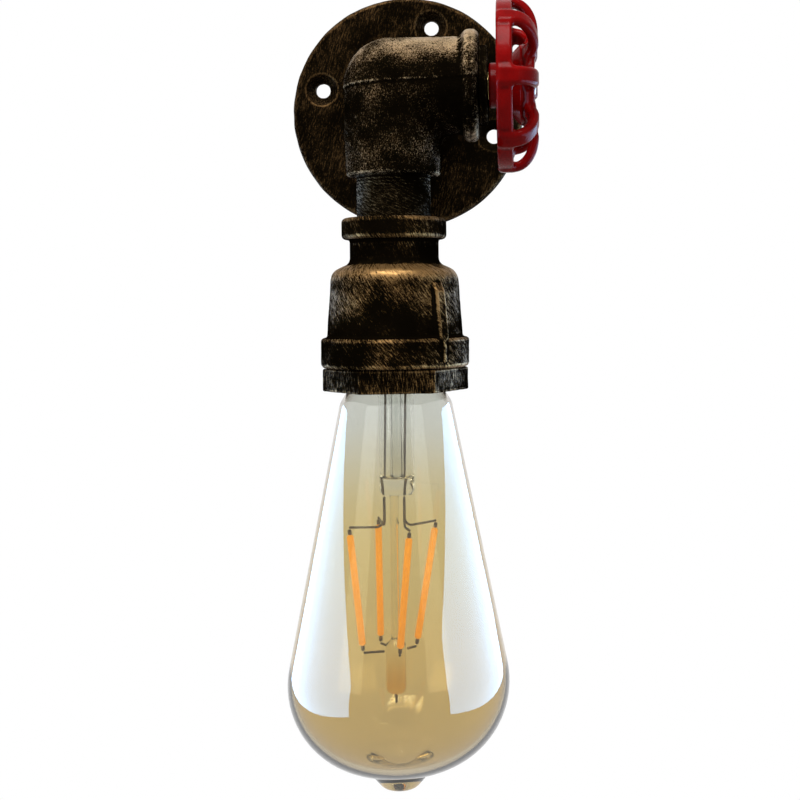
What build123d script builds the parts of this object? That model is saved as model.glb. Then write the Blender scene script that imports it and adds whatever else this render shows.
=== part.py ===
from build123d import *
import os
from math import cos, pi, radians, sin

# Industrial pipe wall light: a threaded wall flange, a side-outlet elbow with a spoked handwheel,
# a drop nipple, a bell reducer and a hexagon bush that holds a screw-in filament lamp.
# All sizes are millimetres. +X is right, +Z is up, and the wall is the plane Y = 0.
# The light stands out from the wall towards -Y. The origin is the middle of the wall flange.

# ---- fits -----------------------------------------------------------------------------------
thread_play = 0.05          # radial play of a tightened pipe thread
running_play = 0.05         # radial play of the valve stem in its plug
seat_play = 0.05            # play of a small metal piece in or on its neighbour
casting_gap = 0.3           # air left between two castings that nearly meet

# ---- pipe -----------------------------------------------------------------------------------
pipe_od = 21.3
pipe_bore = 15.8
pipe_grip = 12.6            # length of pipe thread inside each fitting
back_grip = 10.6            # the same inside the wall flange

# ---- wall flange ----------------------------------------------------------------------------
flange_od = 75.6
flange_plate = 4.6
flange_height = 18.0
flange_hub_od = 29.0
flange_hub_draft = 1.25     # the hub's radius grows by this down to the plate
flange_back_round = 0.6
flange_rim_round = 1.5
flange_hub_round = 3.0
flange_top_round = 1.2
screw_edge = 8.55           # from the rim of the flange to the middle of a screw hole
screw_count = 4
screw_hole = 4.8
screw_sink = 10.6           # rim of the countersink
screw_first_angle = 74.4

# ---- side-outlet elbow ----------------------------------------------------------------------
axis_to_wall = 60.0
elbow_od = 28.0
elbow_end_od = 27.0         # at the end of a plain arm
elbow_reach = 26.0          # from the middle to the end of a plain arm
elbow_side_reach = 25.1
elbow_cavity = 19.0
elbow_crease = 2.6
elbow_end_bevel = 0.8
bead_proud = 2.5            # how far the bead stands out of the side arm
bead_width = 4.6
bead_root_round = 1.0
bead_round = 1.7

# ---- valve plug, stem and handwheel ---------------------------------------------------------
plug_lip = 0.95             # how far the plug's head stands out past the pipe thread
plug_width = 2.6
plug_grip = 11.5
plug_start_round = 0.4
plug_back_round = 0.5
plug_round = 0.7
stem_od = 8.0
stem_collar_lip = 2.0       # how far the stem's collar stands out of it
stem_collar = 1.6
stem_collar_round = 0.3
tang_width = 5.5            # square end of the stem
wheel_clear = 0.2           # from the plug to the boss of the wheel
wheel_od = 48.8
rim_width = 4.5
rim_thickness = 2.0
rim_inner_round = 0.5
rim_outer_round = 0.7
rim_setback = 2.4           # from the back of the boss to the back of the rim
spoke_count = 8
spoke_first_angle = 2.0
spoke_width = 5.2
spoke_thickness = 2.8
spoke_proud = 0.6           # how far a spoke stands out of the rim
spoke_setback = 0.4         # from the back of the rim to the start of a spoke
spoke_round = 1.6
spoke_foot = 3.2            # from the top of a hump in to the rim of the disc
spoke_dip = 0.4             # slope of a spoke where it leaves the hump and meets the disc
hump_inset = 9.4            # from the rim in to the top of a hump
hump_height = 14.3          # from the back of the boss
disc_inset = 12.1           # from the rim in to the edge of the disc
wheel_disc_height = 13.1    # from the back of the boss to the face of the disc
wheel_disc_thickness = 2.0
disc_round = 0.6
boss_wall = 3.7             # from the corner of the tang's flats out to the side of the boss
boss_back_round = 0.6
boss_root_round = 1.0
screw_recess_od = 8.8
screw_recess = 2.6
washer_od = 8.2
washer_thickness = 0.8
wheel_screw_od = 3.4
pilot_depth = 8.0           # depth of the screw's hole in the stem
wheel_screw_length = 7.0
wheel_screw_head_od = 6.8
wheel_screw_head = 2.4
wheel_screw_round = 0.9
wheel_screw_start_round = 0.3

# ---- bell reducer ---------------------------------------------------------------------------
nipple_show = 12.0          # drop nipple seen between elbow and reducer
collar_wall = 4.4           # wall round the pipe thread at the collar
collar_height = 6.2
collar_round = 1.3
neck_wall = 2.1             # wall round the pipe thread at the neck
neck_length = 6.8
neck_top_round = 0.8
neck_bottom_round = 2.4
thread_round = 0.4          # rounding where the bore starts
stop_lip = 1.35             # how far the shoulder at the end of the pipe thread reaches in
stop_height = 1.5
stop_play = 0.4             # from the end of the pipe's grip to that shoulder
shoulder_inset = 1.3        # how far the top of the bell lies inside its foot
shoulder_drop = 2.6
shoulder_round = 4.0
bell_wall = 2.85            # wall round the bush thread at the foot of the bell
bell_foot_round = 0.6
bell_height = 28.2          # from the end of the neck's top to the band
band_proud = 1.75
band_height = 8.5
band_round = 1.0
bell_flare = 5.1            # height of the inner flare
rib_width = 3.2
rib_start = 3.0             # from the shoulder to the top of a rib
rib_lead = 2.5              # height of the slope at the top of a rib
rib_root = 0.4              # how far a rib stands out where that slope starts
rib_top_proud = 1.8
rib_bottom_proud = 2.1
rib_depth = 0.8             # from the bush thread out to the root of a rib
rib_end = 2.0               # from the end of a rib to the foot of the band
rib_angle = 45.0

# ---- hexagon bush ---------------------------------------------------------------------------
bush_thread_od = 33.3
bush_bore = 30.2
bush_flats = 36.4
bush_hex_height = 6.5
bush_spigot = 10.2
bush_round = 0.6
hex_bevel = 0.5
hex_bevel_play = 0.2        # air between the hexagon's corners and the cone that bevels them

# ---- lampholder -----------------------------------------------------------------------------
holder_od = 31.8
holder_floor = 3.4
holder_top_od = 18.0
holder_height = 16.8        # from its top to the step that the bush clamps
holder_sleeve_od = 29.8
holder_sleeve = 7.0
holder_wall = 0.95
holder_cone = 3.8
shell_wall = 0.4
shell_depth = 18.9
tongue_width = 5.0
tongue_thickness = 0.4
tongue_foot = 4.2
tongue_outer_end = 9.2      # from the lamp axis
tongue_inner_end = 3.2
tongue_bend = 0.2           # how far the bends on the tongue's underside are shifted
tongue_reach = 1.35         # from the floor to the contact face
tongue_gap = 0.05
shell_tab = 2.0             # from the rivet to the end of the shell's tab
plate_near, plate_far = 2.4, 8.2
plate_back, plate_front = 2.2, 4.2
plate_thickness = 1.0
terminal_at = 4.2
terminal_head_od = 3.4
terminal_head = 1.2
terminal_od = 2.4
terminal_depth = 2.6
terminal_play = 0.2         # from the end of a terminal screw to the end of its hole
rivet_at = 7.1
rivet_od = 1.6
rivet_top_head_od = 2.0
rivet_head_od = 2.6
rivet_head = 0.5
rivet_lift = 0.4            # play under the head that lets the tongue spring

# ---- wiring ---------------------------------------------------------------------------------
wire_od = 2.0
wire_bend = 12.0
wire_front = 3.2            # live and neutral pass this far in front of the pipe axis
earth_back = 3.6            # earth passes this far behind it
earth_tag_thickness = 0.6
earth_tag_width = 3.0
earth_tag_play = 0.3        # from the rim of the tag's ring to the side of the pipe
earth_tag_root = 0.5        # how far the tag runs in under its ring
ferrule_od = 2.3
ferrule_length = 4.0
ferrule_setback = 5.5       # from the wall to the ends of the ferrules

# ---- lamp: cap ------------------------------------------------------------------------------
lamp_thread_od = 26.2
lamp_thread_length = 13.8
cap_wall = 0.35
cap_skirt_grow = 0.55       # how far the skirt stands out past the thread
cap_skirt_length = 7.5
cap_flare = 1.5
cap_round = 0.8
cap_inner_round = 0.4
tip_od = 8.0
tip_height = 1.2
tip_round = 0.5
insulator_height = 4.2
insulator_step = 0.6        # how far the insulator stands out past the tip
insulator_step_round = 0.3
insulator_lip = 3.0         # how far the insulator runs in under the shell's top
insulator_inside = 1.4      # how far it stands up inside the shell
cement_height = 2.8

# ---- lamp: glass ----------------------------------------------------------------------------
glass_wall = 0.8
glass_neck_od = 25.0
glass_neck_length = 3.3
glass_neck_hidden = 0.7     # how far the neck runs up past the flare's start inside the cap
glass_neck_round = 1.6
glass_shoulder = 5.8        # height of the flare under the neck
glass_shoulder_od = 32.2    # at the foot of that flare
glass_shoulder_round = 7.0
glass_cone_od = 73.0        # where the cone meets the shallow cone of the lamp's end
glass_length = 110.0        # from the top of the neck to that place
glass_dome = 24.9           # radius between the two cones
glass_sag = 4.5             # height of the shallow cone
pip_height = 6.0
pip_base_od = 19.8
pip_tip_od = 9.4
pip_round = 2.6
pip_tip_round = 3.9

# ---- lamp: mount and filaments --------------------------------------------------------------
flare_foot_od = 22.8
flare_foot_drop = 0.6       # from the top of the neck to the foot of the stem
flare_foot_height = 1.0
flare_foot_round = 0.4
flare_round = 5.0
flare_height = 7.0
stem_tube_od = 10.1
stem_tube_wall = 0.9
stem_tube_length = 36.0     # from the top of the neck to the end of the pinch
pinch_height = 5.0
pinch_inset = 1.2           # how far the pinch narrows from the tube's side
pinch_top_round = 2.0
pinch_inner_round = 1.0
pinch_round = 0.8
exhaust_od = 4.0
exhaust_wall = 0.7
exhaust_start = 2.0         # from the top of the neck up to the start of the tube
post_od = 2.6
post_length = 43.0
post_swell = 1.6            # height over which the post widens to its foot
post_root_round = 1.0
post_foot_od = 5.8
post_foot_length = 15.0
post_shoulder_round = 1.4
post_foot_round = 2.4
lower_support_drop = 1.8    # from the top of the post's foot to the lower support wires
post_wire_od = 0.8
post_wire_length = 3.0
lead_od = 0.7
lead_spread = 2.9
support_offset = 0.6        # from a lead out to the support wires fused beside it
support_fall = 9.2          # from the end of the pinch down to where an upper wire turns out
support_bend = 2.4          # radius of that turn
filament_count = 4
filament_od = 2.0
filament_first_angle = -20.0
filament_top_radius = 13.0
filament_bottom_radius = 8.4
filament_top = 46.5         # below the top of the neck
filament_bottom = 78.5
tab_od = 1.1
tab_length = 1.6
support_play = 0.55         # from the end of a support wire to what it is fused to
driver_width = 17.0
driver_height = 13.0
driver_thickness = 1.0
driver_drop = 2.4           # from the top of the cap's thread
capacitor_od = 6.3
capacitor_length = 9.0
capacitor_round = 0.5
capacitor_drop = 1.6        # from the top of the board

# ---- stations, measured down from the elbow axis --------------------------------------------
reducer_top = elbow_reach + nipple_show
neck_top = reducer_top + collar_height
stop_top = reducer_top + pipe_grip + stop_play
neck_bottom = neck_top + neck_length
band_top = neck_top + bell_height
reducer_bottom = band_top + band_height
hex_top = reducer_bottom + casting_gap
hex_bottom = hex_top + bush_hex_height
holder_step = hex_top - bush_spigot
holder_top = holder_step - holder_height
holder_face = holder_top + holder_floor
tip_top = holder_face + tongue_reach + tongue_gap
thread_top = tip_top + insulator_height
thread_bottom = thread_top + lamp_thread_length
skirt_top = thread_bottom + cap_flare
skirt_bottom = skirt_top + cap_skirt_length
glass_top = skirt_bottom - glass_neck_length - glass_neck_hidden
glass_bottom = glass_top + glass_length
pinch_bottom = glass_top + stem_tube_length
board_top = thread_top + driver_drop

# ---- stations, measured along the valve stem from the elbow axis ----------------------------
plug_face = elbow_side_reach + plug_width
plug_end = elbow_side_reach - plug_grip
boss_back = plug_face + wheel_clear
rim_back = boss_back + rim_setback
rim_front = rim_back + rim_width
disc_face = boss_back + wheel_disc_height
recess_floor = disc_face - screw_recess

# ---- diameters and radii that follow from these ---------------------------------------------
pipe_thread = pipe_od / 2 + thread_play
bush_thread = bush_thread_od / 2 + thread_play
screw_circle = flange_od - 2 * screw_edge
collar_radius = pipe_thread + collar_wall
neck_radius = pipe_thread + neck_wall
stop_radius = pipe_thread - stop_lip
bell_radius = bush_thread + bell_wall
shoulder_radius = bell_radius - shoulder_inset
band_radius = bell_radius + band_proud
hump_radius = wheel_od / 2 - hump_inset
disc_radius = wheel_od / 2 - disc_inset
boss_radius = tang_width / 2 + seat_play + boss_wall
cap_skirt = lamp_thread_od / 2 + cap_skirt_grow

# ---- places ---------------------------------------------------------------------------------
centre = (0, -axis_to_wall, 0)
wall = Plane(origin=(0, 0, 0), x_dir=(1, 0, 0), z_dir=(0, -1, 0))
down = Plane(origin=centre, x_dir=(1, 0, 0), z_dir=(0, 0, -1))
back = Plane(origin=centre, x_dir=(1, 0, 0), z_dir=(0, 1, 0))
side = Plane(origin=centre, x_dir=(0, -1, 0), z_dir=(1, 0, 0))


# ---- helpers --------------------------------------------------------------------------------
def turned(*corners):
    """Solid of revolution about Z. A corner is (radius, height) or (radius, height, rounding)."""
    points = [(corner[0], corner[1]) for corner in corners]
    rounds = [corner[2] if len(corner) > 2 else 0 for corner in corners]
    outline = FilletPolyline(*points, radius=rounds, close=True)
    return revolve(Plane.XZ * make_face(outline), axis=Axis.Z)


def tube(outer, inner, bottom, top):
    """Plain tube of two diameters between two heights."""
    return turned((inner / 2, bottom), (outer / 2, bottom), (outer / 2, top), (inner / 2, top))


def disc(diameter, bottom, top):
    """Plain round bar between two heights."""
    return turned((0, bottom), (diameter / 2, bottom), (diameter / 2, top), (0, top))


def rod(start, end, diameter):
    """Round bar from one point to another."""
    axis = Vector(*end) - Vector(*start)
    return Plane(origin=start, z_dir=axis) * disc(diameter, 0, axis.length)


def slab(low, high):
    """Box between two opposite corners."""
    size = [b - a for a, b in zip(low, high)]
    middle = [(a + b) / 2 for a, b in zip(low, high)]
    return Pos(*middle) * Box(*size)


def around(angle, radius, height):
    """Point at an angle in degrees, a radius and a height."""
    return (radius * cos(radians(angle)), radius * sin(radians(angle)), height)


# ---- wall end -------------------------------------------------------------------------------
def wall_flange():
    hub = flange_hub_od / 2
    body = turned(
        (pipe_thread, 0), (flange_od / 2, 0, flange_back_round),
        (flange_od / 2, flange_plate, flange_rim_round),
        (hub + flange_hub_draft, flange_plate, flange_hub_round),
        (hub, flange_height, flange_top_round), (pipe_thread, flange_height, thread_round))
    sink_depth = (screw_sink - screw_hole) / 2
    hole = turned(
        (0, -1), (screw_hole / 2, -1), (screw_hole / 2, flange_plate - sink_depth),
        (screw_sink / 2, flange_plate), (screw_sink / 2, flange_plate + 1), (0, flange_plate + 1))
    for number in range(screw_count):
        angle = screw_first_angle + number * 360 / screw_count
        body -= Pos(*around(angle, screw_circle / 2, 0)) * hole
    return wall * body


def back_nipple():
    start = elbow_reach - pipe_grip
    end = axis_to_wall - flange_height + back_grip
    return back * tube(pipe_od, pipe_bore, start, end)


# ---- elbow and valve ------------------------------------------------------------------------
def elbow():
    radius = elbow_od / 2
    plain_arm = turned(
        (0, 0), (radius, 0), (radius, radius), (elbow_end_od / 2, elbow_reach, elbow_end_bevel),
        (0, elbow_reach))
    bead_start = elbow_side_reach - bead_width
    bead_radius = radius + bead_proud
    side_arm = turned(
        (0, 0), (radius, 0), (radius, bead_start, bead_root_round),
        (bead_radius, bead_start, bead_round), (bead_radius, elbow_side_reach, bead_round),
        (0, elbow_side_reach))
    body = Pos(*centre) * Sphere(radius) + down * plain_arm + back * plain_arm + side * side_arm
    creases = body.edges().filter_by(lambda edge: edge.geom_type == GeomType.ELLIPSE)
    body = fillet(creases, elbow_crease)
    thread = 2 * pipe_thread
    body -= Pos(*centre) * Sphere(elbow_cavity / 2)
    for arm, reach, grip in ((down, elbow_reach, pipe_grip), (back, elbow_reach, pipe_grip),
                             (side, elbow_side_reach, plug_grip)):
        body -= arm * disc(elbow_cavity, 0, reach)
        body -= arm * disc(thread, reach - grip - casting_gap, reach + 1)
    return body


def side_plug():
    bore = stem_od / 2 + running_play
    head = pipe_od / 2 + plug_lip
    return side * turned(
        (bore, plug_end), (pipe_od / 2, plug_end, plug_start_round), (pipe_od / 2, elbow_side_reach),
        (head, elbow_side_reach, plug_back_round), (head, plug_face, plug_round), (bore, plug_face))


def valve_stem():
    collar_end = plug_end - 2 * seat_play
    collar_start = collar_end - stem_collar
    radius = stem_od / 2
    collar = radius + stem_collar_lip
    spindle = turned(
        (0, collar_start), (collar, collar_start, stem_collar_round), (collar, collar_end),
        (radius, collar_end), (radius, boss_back), (0, boss_back))
    half = tang_width / 2
    tang_end = recess_floor - casting_gap
    spindle += slab((-half, -half, boss_back), (half, half, tang_end))
    pilot = wheel_screw_od + 2 * seat_play
    spindle -= disc(pilot, recess_floor - pilot_depth, tang_end + 1)
    return side * spindle


def wheel_spoke():
    """One spoke: a bar along the rim that leaves it, domes over a hump and dips to the disc."""
    outer = wheel_od / 2 + spoke_proud
    inner = outer - spoke_thickness
    hump = boss_back + hump_height
    low_hump = hump - spoke_thickness
    foot = hump_radius - spoke_foot
    over = EllipticalCenterArc((hump_radius, rim_front), outer - hump_radius, hump - rim_front)
    under = EllipticalCenterArc((hump_radius, rim_front), inner - hump_radius, low_hump - rim_front)
    dip = ((-1, 0), (-1, -spoke_dip))
    start = rim_back + spoke_setback
    top_foot = Spline((hump_radius, hump), (foot, disc_face), tangents=dip)
    low_foot = Spline((hump_radius, low_hump), (foot, disc_face - spoke_thickness), tangents=dip)
    along_rim = Line((outer, start), (outer, rim_front))
    profile = Plane.XZ * make_face([
        Line((inner, start), (outer, start)), along_rim, over, top_foot,
        Line(top_foot @ 1, low_foot @ 1), low_foot, under, Line((inner, rim_front), (inner, start))])
    bar = extrude(profile, amount=spoke_width / 2, both=True)
    ridge = [Plane.XZ * curve for curve in (along_rim, over, top_foot)]
    shown = []
    for edge in bar.faces().filter_by(Axis.Y).edges():
        flat = Vector((edge @ 0.5).X, 0, (edge @ 0.5).Z)
        if min(curve.distance_to(flat) for curve in ridge) < 0.01:
            shown.append(edge)
    return fillet(shown, spoke_round)


def handwheel():
    outer = wheel_od / 2
    inner = outer - rim_thickness
    disc_back = disc_face - wheel_disc_thickness
    rim = turned(
        (inner, rim_back, rim_inner_round), (outer, rim_back, rim_outer_round),
        (outer, rim_front, rim_outer_round), (inner, rim_front, rim_inner_round))
    middle = turned(
        (0, boss_back), (boss_radius, boss_back, boss_back_round),
        (boss_radius, disc_back, boss_root_round), (disc_radius, disc_back, disc_round),
        (disc_radius, disc_face, disc_round), (0, disc_face))
    bar = wheel_spoke()
    wheel = rim + middle
    for number in range(spoke_count):
        wheel += Rot(0, 0, spoke_first_angle + number * 360 / spoke_count) * bar
    half = tang_width / 2 + seat_play
    wheel -= slab((-half, -half, boss_back - 1), (half, half, disc_face))
    wheel -= disc(screw_recess_od, recess_floor, disc_face + 1)
    return side * wheel


def wheel_washer():
    hole = wheel_screw_od + 4 * seat_play
    return side * tube(washer_od, hole, recess_floor, recess_floor + washer_thickness)


def wheel_screw():
    seat = recess_floor + washer_thickness
    end = recess_floor - wheel_screw_length
    top = seat + wheel_screw_head
    return side * turned(
        (0, end), (wheel_screw_od / 2, end, wheel_screw_start_round), (wheel_screw_od / 2, seat),
        (wheel_screw_head_od / 2, seat), (wheel_screw_head_od / 2, top, wheel_screw_round), (0, top))


# ---- drop, bell and bush --------------------------------------------------------------------
def drop_nipple():
    bottom = stop_top - earth_tag_thickness
    return down * tube(pipe_od, pipe_bore, elbow_reach - pipe_grip, bottom)


def bell_reducer():
    shoulder = neck_bottom + shoulder_drop
    stop_bottom = stop_top + stop_height
    body = turned(
        (pipe_thread, reducer_top, thread_round), (collar_radius, reducer_top, collar_round),
        (collar_radius, neck_top, collar_round), (neck_radius, neck_top, neck_top_round),
        (neck_radius, neck_bottom, neck_bottom_round), (shoulder_radius, shoulder, shoulder_round),
        (bell_radius, band_top, bell_foot_round), (band_radius, band_top, band_round),
        (band_radius, reducer_bottom, band_round), (bush_thread, reducer_bottom),
        (bush_thread, stop_bottom + bell_flare), (stop_radius, stop_bottom), (stop_radius, stop_top),
        (pipe_thread, stop_top))
    start = shoulder + rib_start
    foot = bush_thread + rib_depth
    proud = bell_radius + rib_bottom_proud
    outline = Polyline(
        (foot, start), (shoulder_radius + rib_root, start),
        (shoulder_radius + rib_top_proud, start + rib_lead), (proud, band_top),
        (proud, reducer_bottom - rib_end), (foot, reducer_bottom - rib_end), close=True)
    rib = extrude(Plane.XZ * make_face(outline), amount=rib_width / 2, both=True)
    for angle in (rib_angle, rib_angle + 180):
        body += Rot(0, 0, angle) * rib
    return down * body


def hex_bush():
    bore = bush_bore / 2
    spigot = turned(
        (bore, holder_step), (bush_thread_od / 2, holder_step, bush_round), (bush_thread_od / 2, hex_top),
        (bore, hex_top))
    hexagon = RegularPolygon(bush_flats / 2, 6, major_radius=False, rotation=0)
    block = Pos(0, 0, hex_top) * extrude(hexagon, amount=bush_hex_height)
    corner = bush_flats / 2 / cos(pi / 6)
    near, far = corner - hex_bevel, corner + hex_bevel_play
    block &= turned(
        (0, hex_top), (near, hex_top), (far, hex_top + hex_bevel), (far, hex_bottom - hex_bevel),
        (near, hex_bottom), (0, hex_bottom))
    block -= disc(bush_bore, hex_top - 1, hex_bottom + 1)
    return down * (spigot + block)


# ---- lampholder -----------------------------------------------------------------------------
def lampholder_body():
    cavity = holder_sleeve_od / 2 - holder_wall
    end = holder_step + holder_sleeve
    body = turned(
        (0, holder_top), (holder_top_od / 2, holder_top), (holder_od / 2, holder_top + holder_cone),
        (holder_od / 2, holder_step), (holder_sleeve_od / 2, holder_step),
        (holder_sleeve_od / 2, end), (cavity, end), (cavity, holder_face), (0, holder_face))
    for sign in (-1, 1):
        body -= Pos(sign * rivet_at, 0, 0) * disc(rivet_od + 2 * seat_play, holder_top - 1, holder_face + 1)
        pilot_end = holder_top - plate_thickness + terminal_depth + terminal_play
        pilot = disc(terminal_od + 2 * seat_play, holder_top - 1, pilot_end)
        body -= Pos(sign * terminal_at, 0, 0) * pilot
    return down * body


def lampholder_shell():
    outer = holder_sleeve_od / 2 - holder_wall - seat_play
    inner = outer - shell_wall
    top = holder_face + seat_play
    shell = tube(2 * outer, 2 * inner, top, top + shell_depth)
    half = tongue_width / 2
    tab = slab((rivet_at - shell_tab, -half, top), (inner + shell_wall / 2, half, top + shell_wall))
    tab -= Pos(rivet_at, 0, 0) * disc(rivet_od + 2 * seat_play, top - 1, top + 1)
    return down * (shell + tab)


def contact_tongue():
    """Springy strip: a foot on the floor, a slope, and a flat end that bears on the lamp."""
    top = holder_face + tongue_gap
    end = holder_face + tongue_reach
    bend = -tongue_outer_end + tongue_foot
    outline = Polyline(
        (-tongue_outer_end, top), (bend, top), (-tongue_inner_end, end - tongue_thickness),
        (tongue_inner_end, end - tongue_thickness), (tongue_inner_end, end),
        (-tongue_inner_end - tongue_bend, end), (bend - tongue_bend, top + tongue_thickness),
        (-tongue_outer_end, top + tongue_thickness), close=True)
    strip = extrude(Plane.XZ * make_face(outline), amount=tongue_width / 2, both=True)
    strip -= Pos(-rivet_at, 0, 0) * disc(rivet_od + 6 * seat_play, top - 1, top + 1)
    return down * strip


def holder_rivets():
    """One rivet holds the tongue and one the shell; each runs up to its terminal plate."""
    rivets = []
    plate_top = holder_top - plate_thickness
    for sign, strip in ((-1, tongue_gap + tongue_thickness + rivet_lift), (1, seat_play + shell_wall)):
        under = holder_face + strip
        rivet = disc(rivet_od, plate_top, under)
        rivet += disc(rivet_top_head_od, plate_top - rivet_head, plate_top)
        rivet += disc(rivet_head_od, under, under + rivet_head)
        rivets.append(down * (Pos(sign * rivet_at, 0, 0) * rivet))
    return Compound(children=rivets)


def terminal_plates():
    plates = []
    top = holder_top - plate_thickness
    for sign in (-1, 1):
        low, high = sorted((sign * plate_near, sign * plate_far))
        plate = slab((low, -plate_back, top), (high, plate_front, holder_top))
        plate -= Pos(sign * rivet_at, 0, 0) * disc(rivet_od + 2 * seat_play, top - 1, holder_top + 1)
        plate -= Pos(sign * terminal_at, 0, 0) * disc(terminal_od + 2 * seat_play, top - 1, holder_top + 1)
        plates.append(down * plate)
    return Compound(children=plates)


def terminal_screws():
    screws = []
    seat = holder_top - plate_thickness
    for sign in (-1, 1):
        screw = disc(terminal_od, seat, seat + terminal_depth)
        screw += disc(terminal_head_od, seat - terminal_head, seat)
        screws.append(down * (Pos(sign * terminal_at, 0, 0) * screw))
    return Compound(children=screws)


# ---- wiring ---------------------------------------------------------------------------------
def wire(name, across, front, bottom):
    """Lead from a terminal up the drop, round the elbow and out through the back nipple."""
    y, z = -axis_to_wall - front, front
    route = FilletPolyline(
        (across, y, -bottom), (across, y, z), (across, -ferrule_setback - ferrule_length, z),
        radius=wire_bend)
    solid = sweep(Plane(route @ 0, z_dir=route % 0) * Circle(wire_od / 2), path=route)
    ideal = pi * wire_od ** 2 / 4 * route.length
    print(f"{name}: bend radius {wire_bend:.1f}, length {route.length:.1f}, "
          f"volume {solid.volume:.1f} against {ideal:.1f}")
    return solid


def lead_places():
    """Name, place across, place in front of the axis and lowest point of each lead."""
    plate_top = holder_top - plate_thickness
    return (("live_wire", -terminal_at, wire_front, plate_top),
            ("neutral_wire", terminal_at, wire_front, plate_top),
            ("earth_wire", 0, -earth_back, stop_top - earth_tag_thickness))


def wire_ferrules():
    ferrules = []
    for _, across, front, _ in lead_places():
        start = (across, -ferrule_setback - ferrule_length, front)
        ferrules.append(rod(start, (across, -ferrule_setback, front), ferrule_od))
    return Compound(children=ferrules)


def earth_tag():
    """Ring pinched between the drop nipple and the reducer's stop, with a tag for the earth lead."""
    top = stop_top - earth_tag_thickness
    ring = tube(pipe_od - 2 * earth_tag_play, pipe_bore, top, stop_top)
    half = earth_tag_width / 2
    root = pipe_bore / 2 + earth_tag_root
    tag = slab((-half, -root, top), (half, -earth_back + wire_od / 2, stop_top))
    return down * (ring + tag)


# ---- lamp cap -------------------------------------------------------------------------------
def bulb_tip():
    low = tip_top + tip_height
    return down * turned((0, tip_top), (tip_od / 2, tip_top, tip_round), (tip_od / 2, low), (0, low))


def cap_insulator():
    low = tip_top + tip_height
    lip = lamp_thread_od / 2 - insulator_lip
    end = thread_top + insulator_inside
    return down * turned(
        (0, low), (tip_od / 2 + insulator_step, low, insulator_step_round), (lip, thread_top),
        (lip, end), (0, end))


def cap_shell():
    outer, inner = lamp_thread_od / 2, lamp_thread_od / 2 - cap_wall
    lip = outer - insulator_lip + seat_play
    return down * turned(
        (lip, thread_top), (outer, thread_top, cap_round), (outer, thread_bottom),
        (cap_skirt, skirt_top), (cap_skirt, skirt_bottom), (cap_skirt - cap_wall, skirt_bottom),
        (cap_skirt - cap_wall, skirt_top), (inner, thread_bottom),
        (inner, thread_top + cap_wall, cap_inner_round), (lip, thread_top + cap_wall))


def cap_cement():
    inner = glass_neck_od + 2 * seat_play
    outer = 2 * (cap_skirt - cap_wall - seat_play)
    return down * tube(outer, inner, glass_top, glass_top + cement_height)


def driver_board():
    half, deep = driver_width / 2, driver_thickness / 2
    return down * slab((-half, -deep, board_top), (half, deep, board_top + driver_height))


def driver_capacitor():
    near = driver_thickness / 2 + seat_play + capacitor_od / 2
    can = turned(
        (0, 0), (capacitor_od / 2, 0, capacitor_round),
        (capacitor_od / 2, capacitor_length, capacitor_round), (0, capacitor_length))
    return down * (Pos(0, near, board_top + capacitor_drop) * can)


# ---- lamp glass -----------------------------------------------------------------------------
def glass_solid(inset):
    """The lamp's outer form, or its inner one when inset by the wall."""
    neck = glass_neck_od / 2 - inset
    flare_top = glass_top + glass_neck_length
    shoulder = flare_top + glass_shoulder
    shoulder_at = glass_shoulder_od / 2 - inset
    cone_end = glass_cone_od / 2 - inset
    end = glass_bottom - inset
    root = end + glass_sag
    corners = [
        (0, glass_top), (neck, glass_top), (neck, flare_top, glass_neck_round),
        (shoulder_at, shoulder, glass_shoulder_round), (cone_end, end, glass_dome - inset)]
    if inset == 0:
        tip = root + pip_height
        corners += [(pip_base_od / 2, root, pip_round), (pip_tip_od / 2, tip, pip_tip_round), (0, tip)]
    else:
        corners.append((0, root))
    return turned(*corners)


def bulb_glass():
    return down * (glass_solid(0) - glass_solid(glass_wall))


def stem_flare():
    """Glass foot that flares out to the neck, its tube, and the pinch that seals the leads."""
    foot, radius = flare_foot_od / 2, stem_tube_od / 2
    inner = radius - stem_tube_wall
    foot_top = glass_top + flare_foot_drop
    flare_end = glass_top + flare_height
    pinch_top = pinch_bottom - pinch_height
    solid = turned(
        (foot - stem_tube_wall, foot_top), (foot, foot_top),
        (foot, foot_top + flare_foot_height, flare_foot_round), (radius, flare_end, flare_round),
        (radius, pinch_top, pinch_top_round), (radius - pinch_inset, pinch_bottom, pinch_round),
        (0, pinch_bottom), (0, pinch_top), (inner, pinch_top, pinch_inner_round),
        (inner, flare_end, flare_round + stem_tube_wall))
    for sign in (-1, 1):
        hole = disc(lead_od + 2 * seat_play, glass_top, pinch_bottom + 1)
        solid -= Pos(sign * lead_spread, 0, 0) * hole
    return down * solid


def exhaust_tube():
    top = glass_top - exhaust_start
    return down * tube(exhaust_od, exhaust_od - 2 * exhaust_wall, top, pinch_bottom - pinch_height)


def lead_wires():
    leads = []
    for sign in (-1, 1):
        lead = disc(lead_od, board_top + driver_height, pinch_bottom)
        leads.append(down * (Pos(sign * lead_spread, 0, 0) * lead))
    return Compound(children=leads)


def centre_post():
    end = pinch_bottom + post_length
    foot = end + post_foot_length
    return down * turned(
        (0, pinch_bottom), (post_od / 2, pinch_bottom), (post_od / 2, end - post_swell, post_root_round),
        (post_foot_od / 2, end, post_shoulder_round), (post_foot_od / 2, foot, post_foot_round),
        (0, foot))


def post_wire():
    start = pinch_bottom + post_length + post_foot_length
    return down * disc(post_wire_od, start, start + post_wire_length)


def filament_ends(number):
    """Top and bottom of one filament."""
    angle = filament_first_angle + number * 360 / filament_count
    top = around(angle, filament_top_radius, glass_top + filament_top)
    bottom = around(angle, filament_bottom_radius, glass_top + filament_bottom)
    return top, bottom


def filament(number):
    top, bottom = filament_ends(number)
    return down * rod(top, bottom, filament_od)


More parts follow.
